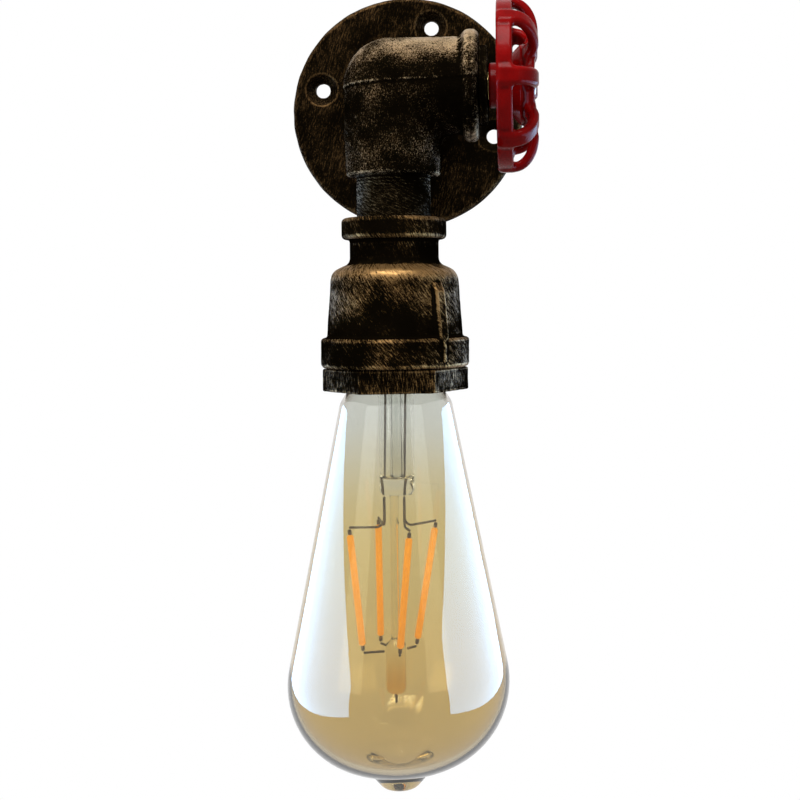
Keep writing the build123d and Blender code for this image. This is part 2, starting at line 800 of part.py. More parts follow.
def filament_tabs():
    """Metal tab on each end of each filament, in line with it."""
    tabs = []
    for number in range(filament_count):
        top, bottom = (Vector(*point) for point in filament_ends(number))
        step = (bottom - top).normalized() * tab_length
        tabs.append(down * rod(tuple(top - step), tuple(top), tab_od))
        tabs.append(down * rod(tuple(bottom), tuple(bottom + step), tab_od))
    return Compound(children=tabs)


def upper_supports():
    """Wires that run down from the pinch and turn out to the filaments, two on each lead."""
    wires = []
    for number in range(filament_count):
        top, bottom = (Vector(*point) for point in filament_ends(number))
        sign = 1 if top.X > 0 else -1
        beside = support_offset if top.Y > 0 else -support_offset
        start = Vector(sign * lead_spread, beside, pinch_bottom + support_play)
        turn = (start.X, start.Y, pinch_bottom + support_fall)
        end = top - (bottom - top).normalized() * (tab_length + support_play)
        route = FilletPolyline(start, turn, end, radius=support_bend)
        wires.append(down * sweep(Plane(route @ 0, z_dir=route % 0) * Circle(lead_od / 2), path=route))
    return Compound(children=wires)


def lower_supports():
    """Wires from the post's foot out to the bottoms of the filaments."""
    wires = []
    height = pinch_bottom + post_length + lower_support_drop
    for number in range(filament_count):
        top, bottom = (Vector(*point) for point in filament_ends(number))
        angle = filament_first_angle + number * 360 / filament_count
        start = around(angle, post_foot_od / 2 + support_play, height)
        end = bottom + (bottom - top).normalized() * (tab_length + support_play)
        wires.append(down * rod(start, tuple(end), lead_od))
    return Compound(children=wires)


# ---- output ---------------------------------------------------------------------------------
def all_pieces():
    pieces = {}
    for make in (
            wall_flange, back_nipple, elbow, side_plug, valve_stem, handwheel, wheel_washer,
            wheel_screw, drop_nipple, bell_reducer, hex_bush, lampholder_body, lampholder_shell,
            contact_tongue, holder_rivets, terminal_plates, terminal_screws, wire_ferrules,
            earth_tag, bulb_tip, cap_insulator, cap_shell, cap_cement, driver_board,
            driver_capacitor, bulb_glass, stem_flare, exhaust_tube, lead_wires, centre_post,
            post_wire, filament_tabs, upper_supports, lower_supports):
        pieces[make.__name__] = make()
    for name, across, front, bottom in lead_places():
        pieces[name] = wire(name, across, front, bottom)
    for number in range(filament_count):
        pieces[f"filament_{number + 1}"] = filament(number)
    return pieces


os.makedirs("parts", exist_ok=True)
for node, shape in all_pieces().items():
    export_step(shape, f"parts/{node}.step")
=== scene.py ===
import math

import bpy
import numpy as np
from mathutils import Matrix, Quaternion, Vector


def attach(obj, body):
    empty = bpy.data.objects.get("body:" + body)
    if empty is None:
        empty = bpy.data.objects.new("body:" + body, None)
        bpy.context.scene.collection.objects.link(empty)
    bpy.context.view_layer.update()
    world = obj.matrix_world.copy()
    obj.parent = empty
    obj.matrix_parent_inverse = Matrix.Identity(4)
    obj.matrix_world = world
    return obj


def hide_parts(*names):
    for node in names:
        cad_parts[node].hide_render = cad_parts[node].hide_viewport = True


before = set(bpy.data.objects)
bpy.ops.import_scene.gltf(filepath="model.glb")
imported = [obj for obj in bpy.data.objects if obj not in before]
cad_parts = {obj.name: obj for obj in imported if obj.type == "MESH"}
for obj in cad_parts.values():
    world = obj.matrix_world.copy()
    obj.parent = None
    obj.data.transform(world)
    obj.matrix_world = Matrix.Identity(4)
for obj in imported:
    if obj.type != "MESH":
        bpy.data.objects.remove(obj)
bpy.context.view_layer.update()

# Lengths are millimetres in the row frame until a mesh is made, and metres after that.
MM = 0.001

# ---- sizes that the looks share with the model ----
AXIS_TO_WALL = 60.0
PIPE_OD, PIPE_BORE = 21.3, 15.8
THREAD_BORE = 21.4
ELBOW_OD, ELBOW_END_OD = 28.0, 27.0
ELBOW_REACH, ELBOW_SIDE_REACH = 26.0, 25.1
ELBOW_CAVITY, ELBOW_EDGE = 19.0, 0.8
BEAD_OD, BEAD_WIDTH = 33.0, 4.6
FLANGE_OD, FLANGE_PLATE, FLANGE_HEIGHT = 75.6, 4.6, 18.0
FLANGE_HUB, FLANGE_HUB_BASE = 29.0, 31.5
SCREW_CIRCLE, SCREW_HOLE, SCREW_SINK = 58.5, 4.8, 10.6
SCREW_FIRST_ANGLE = 74.4
PLUG_OD, PLUG_FACE, PLUG_END = 23.2, 27.7, 13.6
BOSS_BACK, RIM_BACK, RIM_FRONT, DISC_FACE = 27.9, 30.3, 34.8, 41.0
RECESS_FLOOR = 38.4
WHEEL_OD, SPOKES, FIRST_SPOKE = 48.8, 8, 2.0
SPOKE_THICKNESS, SPOKE_WIDTH = 2.8, 5.2
HUMP_RADIUS, HUMP_TOP = 15.0, 42.2
REDUCER_TOP, NECK_TOP, NECK_BOTTOM = 38.0, 44.2, 51.0
BAND_TOP, REDUCER_BOTTOM = 72.4, 80.9
HEX_TOP, HEX_BOTTOM, HEX_FLATS, BUSH_BORE = 81.2, 87.7, 36.4, 30.2
HOLDER_STEP = 71.0
GLASS_TOP, GLASS_BOTTOM, GLASS_WALL = 82.0, 192.0, 0.8
PINCH_BOTTOM, POST_FOOT_TOP, POST_END = 118.0, 161.0, 176.0
WIRE_RADIUS = 0.35


# ---- places: origin, x and z directions ----
class Place:
    """A local frame: turns local points in millimetres into the row frame."""

    def __init__(self, origin, x_dir, z_dir):
        self.origin = np.array(origin, float)
        self.x, self.z = np.array(x_dir, float), np.array(z_dir, float)
        self.y = np.cross(self.z, self.x)

    def __call__(self, points):
        points = np.asarray(points, float)
        return (self.origin + points[..., :1] * self.x + points[..., 1:2] * self.y
                + points[..., 2:] * self.z)


CENTRE = (0, -AXIS_TO_WALL, 0)
WALL = Place((0, 0, 0), (1, 0, 0), (0, -1, 0))
DOWN = Place(CENTRE, (1, 0, 0), (0, 0, -1))
BACK = Place(CENTRE, (1, 0, 0), (0, 1, 0))
SIDE = Place(CENTRE, (0, -1, 0), (1, 0, 0))
PLAIN = Place(CENTRE, (1, 0, 0), (0, 0, 1))


# ---- meshes ----
def mesh_object(name, points, faces, body):
    """Smooth mesh from points in millimetres in the row frame; it rides on a body."""
    mesh = bpy.data.meshes.new(name)
    mesh.from_pydata((np.asarray(points) * MM).tolist(), [], [tuple(f) for f in faces])
    mesh.validate()
    mesh.update()
    mesh.shade_smooth()
    made = bpy.data.objects.new(name, mesh)
    bpy.context.scene.collection.objects.link(made)
    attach(made, body)
    return made


def add_wear_and_shade(piece, rounds=2):
    """Point attribute of convexity, in 1/mm, averaged over its neighbours: it marks worn copper on edges and
    painted shade in the hollows of the red enamel.
    """
    mesh = piece.data
    count = len(mesh.vertices)
    places = np.empty(count * 3)
    mesh.vertices.foreach_get("co", places)
    places = places.reshape(-1, 3) / MM
    normals = np.empty(count * 3, np.float32)
    mesh.vertex_normals.foreach_get("vector", normals)
    normals = normals.reshape(-1, 3)
    ends = np.empty(len(mesh.edges) * 2, np.int32)
    mesh.edges.foreach_get("vertices", ends)
    a, b = ends.reshape(-1, 2).T
    gap = places[b] - places[a]
    length = np.maximum((gap ** 2).sum(1), 1e-6)
    total, number = np.zeros(count), np.zeros(count)
    for here, sign in ((a, -1), (b, 1)):
        np.add.at(total, here, 2 * sign * (normals[here] * gap).sum(1) / length)
        np.add.at(number, here, 1)
    number = np.maximum(number, 1)
    wear_and_shade = total / number
    for turn in range(rounds):
        near = np.zeros(count)
        np.add.at(near, a, wear_and_shade[b])
        np.add.at(near, b, wear_and_shade[a])
        wear_and_shade = 0.5 * wear_and_shade + 0.5 * near / number
    layer = mesh.attributes.new("wear_and_shade", "FLOAT", "POINT")
    layer.data.foreach_set("value", wear_and_shade.astype(np.float32))


def arc(middle, start, end, angle, parts):
    """Points of an arc; start and end are seen from its middle, the angle apart."""
    return [middle + (start * math.sin((1 - t) * angle) + end * math.sin(t * angle)) / math.sin(angle)
            for t in np.linspace(0, 1, parts + 1)]


def rounded(corners, closed=True, step=0.5, arc_parts=6):
    """Outline through (x, y, rounding) corners: arcs at the corners, straights cut to the step."""
    corners = [tuple(c) + (0,) * (3 - len(c)) for c in corners]
    number = len(corners)
    line = []
    for i, (x, y, radius) in enumerate(corners):
        here = np.array((x, y))
        if radius == 0 or not closed and i in (0, number - 1):
            line.append(here)
            continue
        before = np.array(corners[i - 1][:2]) - here
        after = np.array(corners[(i + 1) % number][:2]) - here
        u, v = before / np.hypot(*before), after / np.hypot(*after)
        half = math.acos(np.clip(u @ v, -1, 1)) / 2
        reach = radius / math.tan(half)
        middle = here + (u + v) / np.hypot(*(u + v)) * radius / math.sin(half)
        angle = math.pi - 2 * half
        parts = max(2, int(math.ceil(angle / (math.pi / 2) * arc_parts)))
        line += arc(middle, here + u * reach - middle, here + v * reach - middle, angle, parts)
    dense = []
    for p, q in zip(line, line[1:] + line[:1] if closed else line[1:]):
        parts = max(1, int(math.ceil(np.hypot(*(q - p)) / step)))
        dense += [p + (q - p) * k / parts for k in range(parts)]
    if not closed:
        dense.append(line[-1])
    return np.array(dense)


def waves(points, seed, size, count=28):
    """Smooth unevenness of a casting: seeded sine waves in all directions, about -1 to 1."""
    random = np.random.default_rng(seed)
    total = np.zeros(points.shape[:-1])
    for number in range(count):
        direction = random.normal(size=3)
        direction /= np.linalg.norm(direction)
        length = size * random.uniform(0.6, 1.8)
        phase = random.uniform(0, 2 * math.pi)
        total += np.sin(points @ direction * (2 * math.pi / length) + phase)
    return total / math.sqrt(count)


def add_rings(line, turns, points):
    """Adds a ring of points for each (radius, height), or one point on the axis; gives their numbers."""
    angles = np.linspace(0, 2 * math.pi, turns, endpoint=False)
    rings = []
    for radius, height in line:
        size = 1 if radius < 1e-6 else turns
        rings.append(range(len(points), len(points) + size))
        points += [(radius * math.cos(t), radius * math.sin(t), height) for t in angles[:size]]
    return rings


def skin(low, high):
    """Faces between two rings; a ring of one point is a tip."""
    turns = max(len(low), len(high))
    if turns == 1:
        return []
    pairs = [(k, (k + 1) % turns) for k in range(turns)]
    if len(low) == 1:
        return [(low[0], high[n], high[k]) for k, n in pairs]
    if len(high) == 1:
        return [(low[k], low[n], high[0]) for k, n in pairs]
    return [(low[k], low[n], high[n], high[k]) for k, n in pairs]


def lathe(name, corners, place, body, turns=128, step=0.6, lump=0.0, seed=1, closed=True):
    """Turned piece from an outline of (radius, height, rounding) corners; lump makes it uneven."""
    points, faces = [], []
    rings = add_rings(rounded(corners, closed, step), turns, points)
    for low, high in zip(rings, rings[1:] + rings[:1] if closed else rings[1:]):
        faces += skin(low, high)
    points = np.array(points)
    if lump:
        away = points * (1, 1, 0) / np.maximum(np.hypot(points[:, 0], points[:, 1]), 1e-6)[:, None]
        points = points + away * (lump * waves(points, seed, size=4.0))[:, None]
    return mesh_object(name, place(points), faces, body)


# ---- castings as fields ----
def outline_field(line):
    """Signed distance to a closed outline in the (radius, height) plane, by a fine table."""
    cell, margin = 0.15, 3.0
    line = np.asarray(line)
    low, high = line.min(0) - margin, line.max(0) + margin
    xs = np.arange(min(low[0], 0.0) - cell, high[0] + cell, cell)
    ys = np.arange(low[1], high[1] + cell, cell)
    x, y = np.meshgrid(xs, ys, indexing="ij")
    best, inside = np.full(x.shape, 1e9), np.zeros(x.shape, bool)
    for (x0, y0), (x1, y1) in zip(line, np.roll(line, -1, axis=0)):
        ex, ey = x1 - x0, y1 - y0
        span = ex * ex + ey * ey
        if span < 1e-12:
            continue
        t = np.clip(((x - x0) * ex + (y - y0) * ey) / span, 0, 1)
        best = np.minimum(best, (x - x0 - t * ex) ** 2 + (y - y0 - t * ey) ** 2)
        if abs(ey) > 1e-12:
            inside ^= ((y0 > y) != (y1 > y)) & (x < ex * (y - y0) / ey + x0)
    table = np.where(inside, -1, 1) * np.sqrt(best)

    def field(radius, height):
        i = np.clip((radius - xs[0]) / cell, 0, len(xs) - 1.001)
        j = np.clip((height - ys[0]) / cell, 0, len(ys) - 1.001)
        i0, j0 = i.astype(int), j.astype(int)
        u, v = i - i0, j - j0
        return ((table[i0, j0] * (1 - u) + table[i0 + 1, j0] * u) * (1 - v)
                + (table[i0, j0 + 1] * (1 - u) + table[i0 + 1, j0 + 1] * u) * v)
    return field


def blend_union(a, b, width):
    """Union of two fields with a fillet of about that width where they meet."""
    h = np.clip(0.5 + 0.5 * (b - a) / width, 0, 1)
    return b + (a - b) * h - width * h * (1 - h)


def soft_corner(a, b, radius):
    """Intersection of two fields with a rounded edge."""
    u, v = np.maximum(a + radius, 0), np.maximum(b + radius, 0)
    return np.minimum(np.maximum(a, b), -radius) + np.hypot(u, v)


def slab(value, low, high):
    """Field that is inside where a value lies between two limits."""
    return np.abs(value - (low + high) / 2) - (high - low) / 2


def rise(value, start, end):
    """0 before the start, 1 past the end and a straight line between them."""
    return np.clip((value - start) / (end - start), 0, 1)


def crossed_cells(inside, shape):
    """The cells that a field's zero surface crosses, and a face for each crossed grid edge."""
    corners = np.zeros(shape, int)
    for i in (0, 1):
        for j in (0, 1):
            for k in (0, 1):
                corners += inside[i:i + shape[0], j:j + shape[1], k:k + shape[2]]
    mixed = (corners > 0) & (corners < 8)
    index = np.full(shape, -1)
    index[mixed] = np.arange(mixed.sum())
    faces = []
    for axis in range(3):
        rows, columns = (shape[other] for other in range(3) if other != axis)
        first = np.moveaxis(inside, axis, 0)
        crossed = np.argwhere(first[:-1] != first[1:])
        rising = first[:-1][tuple(crossed.T)]
        ok = (crossed[:, 1] > 0) & (crossed[:, 2] > 0) & (crossed[:, 1] < rows) & (crossed[:, 2] < columns)
        i, j, k = crossed[ok].T
        order = np.moveaxis(index, axis, 0)
        quad = np.stack([order[i, j - 1, k - 1], order[i, j, k - 1], order[i, j, k],
                         order[i, j - 1, k]], axis=1)
        kept = rising[ok] if axis != 1 else ~rising[ok]
        quad[~kept] = quad[~kept][:, ::-1]
        faces.append(quad)
    faces = np.concatenate(faces)
    return np.argwhere(mixed), faces[(faces >= 0).all(1)]


def cast(name, field, low, high, step, place, body, relax=2):
    """Mesh of a field's zero surface: one point per crossed cell, settled on it and relaxed."""
    axes = [np.arange(a, b + step, step) for a, b in zip(low, high)]
    grid = np.stack(np.meshgrid(*axes, indexing="ij"), axis=-1)
    cells, faces = crossed_cells(field(grid) < 0, [len(a) - 1 for a in axes])

    def settle(points):
        small, rounds, longest = 0.05, 3, 0.8 * step
        for turn in range(rounds):
            slope = np.stack([(field(points + d) - field(points - d)) / (2 * small)
                              for d in np.eye(3) * small], axis=-1)
            size = np.maximum((slope ** 2).sum(-1), 0.05)
            move = -(field(points) / size)[:, None] * slope
            points = points + move / np.maximum(np.linalg.norm(move, axis=1) / longest, 1)[:, None]
        return points

    points = settle(np.array(low) + (cells + 0.5) * step)
    edges = np.concatenate([faces[:, [0, 1]], faces[:, [1, 2]], faces[:, [2, 3]], faces[:, [3, 0]]])
    for turn in range(relax):
        total, number = np.zeros_like(points), np.zeros(len(points))
        for a, b in ((0, 1), (1, 0)):
            np.add.at(total, edges[:, a], points[edges[:, b]])
            np.add.at(number, edges[:, a], 1)
        points = settle(0.5 * points + 0.5 * total / np.maximum(number, 1)[:, None])
    return mesh_object(name, place(points), faces, body)


# ---- pieces: castings ----
def make_flange():
    bore = THREAD_BORE / 2
    shape = outline_field(rounded([
        (bore, 0), (FLANGE_OD / 2, 0, 0.6), (FLANGE_OD / 2, FLANGE_PLATE, 1.5),
        (FLANGE_HUB_BASE / 2, FLANGE_PLATE, 3.0), (FLANGE_HUB / 2, FLANGE_HEIGHT, 1.2),
        (bore, FLANGE_HEIGHT, 0.4)]))
    sink_depth = (SCREW_SINK - SCREW_HOLE) / 2
    sink_growth = 9.0        # the cone widens no further, so it stays clear of the hub

    def field(p):
        height = p[..., 2]
        body = shape(np.hypot(p[..., 0], p[..., 1]), height)
        body = body - 0.05 * waves(p, seed=3, size=6.0) * rise(height, 0, 2)
        cone = SCREW_HOLE / 2 + np.clip(height - FLANGE_PLATE + sink_depth, 0, sink_growth)
        for number in range(4):
            angle = math.radians(SCREW_FIRST_ANGLE + 90 * number)
            x, y = SCREW_CIRCLE / 2 * math.cos(angle), SCREW_CIRCLE / 2 * math.sin(angle)
            body = np.maximum(body, cone - np.hypot(p[..., 0] - x, p[..., 1] - y))
        return body

    half = FLANGE_OD / 2 + 1
    piece = cast("cast_flange", field, (-half, -half, -0.7), (half, half, FLANGE_HEIGHT + 1), 0.45,
                 WALL, "root")
    return dress(piece, patina["flange"], "wall_flange")


def arm_field(p, along, across, reach, end_radius):
    """Field of a tapered arm with a soft end, along one axis from the middle."""
    half = ELBOW_OD / 2
    height = p[..., along[0]] * along[1]
    distance = np.hypot(p[..., across[0]], p[..., across[1]])
    taper = rise(height, half, reach)
    side = np.maximum(distance - half - (end_radius - half) * taper, -height - half)
    return soft_corner(side, height - reach, ELBOW_EDGE)


def make_elbow():
    half = ELBOW_OD / 2
    fillet, bead_fillet, bead_edge, bead_inset = 3.6, 1.6, 2.0, 0.3
    seam_slope, seam_width, seam_height, seam_reach = 0.035, 0.34, 0.16, 16.0
    offset, offset_width = 0.12, 0.25    # the upper half of the mould stands out a little
    offset_start, offset_full = -9.0, -4.0
    inset = 0.1                          # room for the seam and the offset
    thread_depth, side_thread_depth = 12.9, 11.8

    def crease(place):
        """Width of the fillet between two arms; it dies out where they run into each other."""
        return np.maximum(fillet * np.sqrt(np.clip(1 - (place / half) ** 2, 0, 1)), 0.02)

    def field(p):
        x, y, z = p[..., 0], p[..., 1], p[..., 2]
        ball = np.sqrt(x * x + y * y + z * z)
        drop = np.maximum(arm_field(p, (2, -1), (0, 1), ELBOW_REACH, ELBOW_END_OD / 2), z)
        rear = np.maximum(arm_field(p, (1, 1), (0, 2), ELBOW_REACH, ELBOW_END_OD / 2), -y)
        side = np.maximum(soft_corner(np.hypot(y, z) - half, x - ELBOW_SIDE_REACH, ELBOW_EDGE), -x)
        body = np.minimum(blend_union(drop, side, crease(y)), blend_union(rear, side, crease(z)))
        body = np.minimum(np.minimum(body, blend_union(drop, rear, crease(x))), ball - half)
        middle = ELBOW_SIDE_REACH - BEAD_WIDTH / 2
        bead = soft_corner(np.hypot(y, z) - BEAD_OD / 2 + bead_inset,
                           slab(x, ELBOW_SIDE_REACH - BEAD_WIDTH, ELBOW_SIDE_REACH), bead_edge)
        body = np.where(x < middle, blend_union(body, bead, bead_fillet), np.minimum(body, bead))
        part = z - seam_slope * x
        seam = np.exp(-(part / seam_width) ** 2) * np.clip(1.5 - np.maximum(x, y) / seam_reach, 0, 1)
        step = offset * np.tanh(part / offset_width) * rise(z, offset_start, offset_full)
        body = body - seam_height * seam - step + inset
        body = body - 0.05 * waves(p, seed=11, size=2.6) - 0.06 * waves(p, seed=12, size=9.0)
        inner = ball - ELBOW_CAVITY / 2
        for distance, height, reach, depth in (
                (np.hypot(x, y), -z, ELBOW_REACH, thread_depth),
                (np.hypot(x, z), y, ELBOW_REACH, thread_depth),
                (np.hypot(y, z), x, ELBOW_SIDE_REACH, side_thread_depth)):
            inner = np.minimum(inner, np.maximum(distance - ELBOW_CAVITY / 2, -height))
            inner = np.minimum(inner, np.maximum(distance - THREAD_BORE / 2, reach - depth - height))
        return np.maximum(body, -inner)

    piece = cast("cast_elbow", field, (-15.5, -18.0, -27.5), (27.0, 27.5, 18.0), 0.4, PLAIN, "root")
    return dress(piece, patina["elbow"], "elbow")


def make_reducer():
    thread, collar, neck = THREAD_BORE / 2, 15.1, 12.8
    shoulder, bell, band = 18.25, 19.55, 21.3
    shoulder_height = 53.6
    mouth, room_top = 16.7, 57.6
    throat, throat_bottom = 9.35, 52.5
    shape = outline_field(rounded([
        (thread, REDUCER_TOP, 0.4), (collar, REDUCER_TOP, 1.3), (collar, NECK_TOP, 1.3),
        (neck, NECK_TOP, 0.8), (neck, NECK_BOTTOM, 2.4), (shoulder, shoulder_height, 4.0),
        (bell, BAND_TOP, 0.9), (band, BAND_TOP, 1.0), (band, REDUCER_BOTTOM, 1.1),
        (mouth, REDUCER_BOTTOM, 0.2), (mouth, room_top), (throat, throat_bottom),
        (throat, NECK_BOTTOM), (thread, NECK_BOTTOM)], step=1.0))
    rib_angle = math.radians(45.0)
    rib_top, rib_knee, rib_bottom, rib_root = 57.2, 59.4, REDUCER_BOTTOM - 2.0, 17.0
    rib_half, rib_half_on_band, rib_edge, rib_fillet = 1.6, 0.55, 0.4, 0.7
    rib_line = outline_field([
        (rib_root, rib_top), (shoulder + 0.4, rib_top), (shoulder + 1.8, rib_knee),
        (bell + 2.1, BAND_TOP), (bell + 2.1, rib_bottom), (rib_root, rib_bottom)])

    def field(p):
        x, y, h = p[..., 0], p[..., 1], p[..., 2]
        r = np.hypot(x, y)
        body = shape(r, h)
        across = np.abs(y * math.cos(rib_angle) - x * math.sin(rib_angle))
        half = rib_half - (rib_half - rib_half_on_band) * rise(h, BAND_TOP, BAND_TOP + 0.8)
        for sign in (1, -1):
            along = sign * (x * math.cos(rib_angle) + y * math.sin(rib_angle))
            rib = soft_corner(rib_line(np.maximum(along, 0), h), across - half, rib_edge)
            body = blend_union(body, rib, rib_fillet)
        on_bell = np.clip((r - 11.5) / 2 + np.clip((h - 54) / 4, -3, 0), 0, 1)
        return body - on_bell * (0.035 * waves(p, seed=21, size=3.0) + 0.04 * waves(p, seed=22, size=11.0))

    piece = cast("cast_reducer", field, (-22.5, -22.5, 37.2), (22.5, 22.5, 82.0), 0.4, DOWN, "root")
    return dress(piece, patina["bell"], "bell_reducer")


def make_bush():
    turn = -6.0              # the front facet faces the photograph's viewpoint
    edge, bevel_radius, spigot = 0.4, 20.5, 16.65

    def field(p):
        x, y, h = p[..., 0], p[..., 1], p[..., 2]
        r = np.hypot(x, y)
        flats = np.full(r.shape, -1e9)
        for k in range(3):
            angle = math.radians(30 + 60 * k + turn)
            flats = np.maximum(flats, np.abs(x * math.cos(angle) + y * math.sin(angle)) - HEX_FLATS / 2)
        ends = slab(h, HEX_TOP, HEX_BOTTOM)
        block = np.maximum(soft_corner(flats, ends, edge), (r - bevel_radius + 1.4 * ends) * 0.58)
        screw = np.maximum(r - spigot, np.maximum(HOLDER_STEP - h, h - HEX_BOTTOM + 1))
        body = np.minimum(block, screw) - 0.035 * waves(p, seed=31, size=4.0)
        return np.maximum(body, BUSH_BORE / 2 - r)

    piece = cast("cast_bush", field, (-21.6, -21.6, 70.4), (21.6, 21.6, 88.4), 0.33, DOWN, "root")
    return dress(piece, patina["hex"], "hex_bush")


def wheel_ridge():
    """Middle line of a spoke in the (radius, height) plane: rim, quarter ellipse, dip to the disc."""
    thick, parts = SPOKE_THICKNESS / 2, 14
    outer, crest = WHEEL_OD / 2 + 0.6 - thick, HUMP_TOP - thick
    line = [(outer, RIM_BACK + 1.7), (outer, RIM_FRONT - 0.2)]
    for k in range(1, parts + 1):
        t = math.pi / 2 * k / parts
        line.append((HUMP_RADIUS + (outer - HUMP_RADIUS) * math.cos(t),
                     RIM_FRONT + (crest - RIM_FRONT) * math.sin(t)))
    return line + [(13.8, crest - 0.25), (12.6, crest - 0.8), (10.8, 39.6)]


def make_wheel():
    line = wheel_ridge()
    pitch = 2 * math.pi / SPOKES
    disc_radius, disc_thickness, boss_radius, boss_front = 12.3, 2.0, 6.5, 39.5
    cone_back, cone_front, cone_start, cone_end, cone_growth = 32.1, 39.9, 32.0, 37.0, 5.0
    hub_room = 14.0          # only inside this radius does the wheel reach behind its rim
    rim_half, edge, recess_radius, square_half = 1.0, 0.6, 4.4, 2.8

    def field(p):
        u, v, h = p[..., 0], p[..., 1], p[..., 2]
        r, angle = np.hypot(u, v), np.arctan2(v, u) - math.radians(FIRST_SPOKE)
        fold = (angle + pitch / 2) % pitch - pitch / 2
        along, across = r * np.cos(fold), r * np.sin(fold)
        best = np.full(r.shape, 1e9)
        for (x0, y0), (x1, y1) in zip(line[:-1], line[1:]):
            ex, ey = x1 - x0, y1 - y0
            t = np.clip(((along - x0) * ex + (h - y0) * ey) / (ex * ex + ey * ey), 0, 1)
            best = np.minimum(best, (along - x0 - t * ex) ** 2 + (h - y0 - t * ey) ** 2)
        spoke = soft_corner(np.sqrt(best) - SPOKE_THICKNESS / 2, np.abs(across) - SPOKE_WIDTH / 2, 1.38)
        rim = soft_corner(np.abs(r - WHEEL_OD / 2 + rim_half) - rim_half,
                          slab(h, RIM_BACK, RIM_FRONT), 0.7)
        disc = soft_corner(r - disc_radius, slab(h, DISC_FACE - disc_thickness, DISC_FACE), edge)
        boss = soft_corner(r - boss_radius, slab(h, BOSS_BACK, boss_front), edge)
        widening = cone_growth * rise(h, cone_start, cone_end)
        cone = soft_corner(r - boss_radius - widening, slab(h, cone_back, cone_front), edge)
        hub = blend_union(disc, blend_union(boss, cone, 1.0), 1.6)
        body = blend_union(blend_union(rim, spoke, 1.5), hub, 1.3)
        body = body - 0.02 * waves(p, seed=41, size=7.0)
        body = np.maximum(body, RIM_BACK - h - 20 * np.clip(hub_room - r, 0, 1))
        recess = np.maximum(r - recess_radius, RECESS_FLOOR - h)
        square = np.maximum(np.abs(u), np.abs(v)) - square_half
        return np.maximum(body, -np.minimum(recess, square))

    piece = cast("cast_handwheel", field, (-26.4, -26.4, 27.2), (26.4, 26.4, 43.6), 0.3, SIDE,
                 "handwheel")
    return dress(piece, finish["red"], "handwheel")


# ---- pieces: turned ----
def make_pipes():
    outer, inner = PIPE_OD / 2, PIPE_BORE / 2
    start, drop_end, back_end = 13.4, 50.4, 52.6
    ring, last_ring, pitch, depth = 26.2, 30.5, 0.9, 0.07
    corners = [(inner, start, 0.3), (outer, start, 0.3)]
    height = ring
    while height < last_ring:
        cut = depth * (1 - (height - ring) / 6)
        corners += [(outer, height), (outer - cut, height + 0.3), (outer - cut, height + 0.5),
                    (outer, height + 0.8)]
        height += pitch
    corners += [(outer, drop_end, 0.3), (inner, drop_end, 0.3)]
    drop = lathe("drop_pipe", corners, DOWN, "root", lump=0.02, seed=51)
    corners = [(inner, start, 0.3), (outer, start, 0.3), (outer, back_end, 0.3), (inner, back_end, 0.3)]
    back = lathe("back_pipe", corners, BACK, "root", lump=0.02, seed=52)
    return dress(drop, patina["pipe"], "drop_nipple"), dress(back, patina["back_pipe"], "back_nipple")


def make_plug():
    bore, thread, head = 4.05, 10.65, PLUG_OD / 2
    corners = [(bore, PLUG_END), (thread, PLUG_END, 0.4), (thread, ELBOW_SIDE_REACH),
               (head, ELBOW_SIDE_REACH, 0.5), (head, PLUG_FACE, 0.7), (bore, PLUG_FACE)]
    piece = lathe("turned_plug", corners, SIDE, "root", lump=0.02, seed=53)
    return dress(piece, patina["plug"], "side_plug")


def make_wheel_fastener():
    shank, head, washer_radius = 1.7, 3.4, 4.1
    washer_back, washer_front = 38.42, 39.18
    washer = lathe("turned_washer", [
        (1.9, washer_back), (washer_radius, washer_back, 0.15), (washer_radius, washer_front, 0.2),
        (1.9, washer_front)], SIDE, "handwheel", turns=64, step=0.4)
    dress(washer, finish["steel"], "wheel_washer")
    screw = lathe("turned_screw", [
        (0, 31.4), (shank, 31.4, 0.3), (shank, 39.2), (head, 39.2, 0.2), (head, 41.4, 1.3),
        (1.2, 41.6, 0.4), (0.9, 40.7), (0, 40.7)], SIDE, "handwheel", turns=64, step=0.4, closed=False)
    dress(screw, finish["steel"], "wheel_screw")


# ---- pieces: lamp ----
def glass_corners(inset):
    """Outline of the lamp glass from its neck to its lowest point, and to its pip on the outside."""
    neck, shoulder, dome = 12.5 - inset, 16.1 - inset, 24.9 - inset
    flare_top, bottom = GLASS_TOP + 3.3, GLASS_BOTTOM - inset
    pip_root = bottom + 4.5
    pip_end = pip_root + 6.0
    corners = [(neck, GLASS_TOP), (neck, flare_top, 1.6), (shoulder, flare_top + 5.8, 7.0),
               (36.5 - inset, bottom, dome)]
    if inset:
        return corners + [(0, pip_root)]
    return corners + [(9.9, pip_root, 2.6), (4.7, pip_end, 3.9), (0, pip_end)]


def make_glass():
    points, skins = [], []
    for inset in (0, GLASS_WALL):
        line = rounded(glass_corners(inset), closed=False, step=1.2, arc_parts=22)
        skins.append(add_rings(line, 160, points))
    outer, inner = skins
    faces = skin(inner[0], outer[0])
    for low, high in zip(outer, outer[1:]):
        faces += skin(low, high)
    for low, high in zip(inner, inner[1:]):
        faces += [face[::-1] for face in skin(low, high)]
    dress(mesh_object("blown_glass", DOWN(points), faces, "bulb"), glass["bulb"], "bulb_glass")


def leaning(points):
    """The mount leans a little to the left of the lamp's axis below its stem."""
    lean, lean_top, lean_bottom = 0.9, 106.0, 118.0
    points = np.array(points, float)
    points[:, 0] -= lean * rise(points[:, 2], lean_top, lean_bottom)
    return DOWN(points)


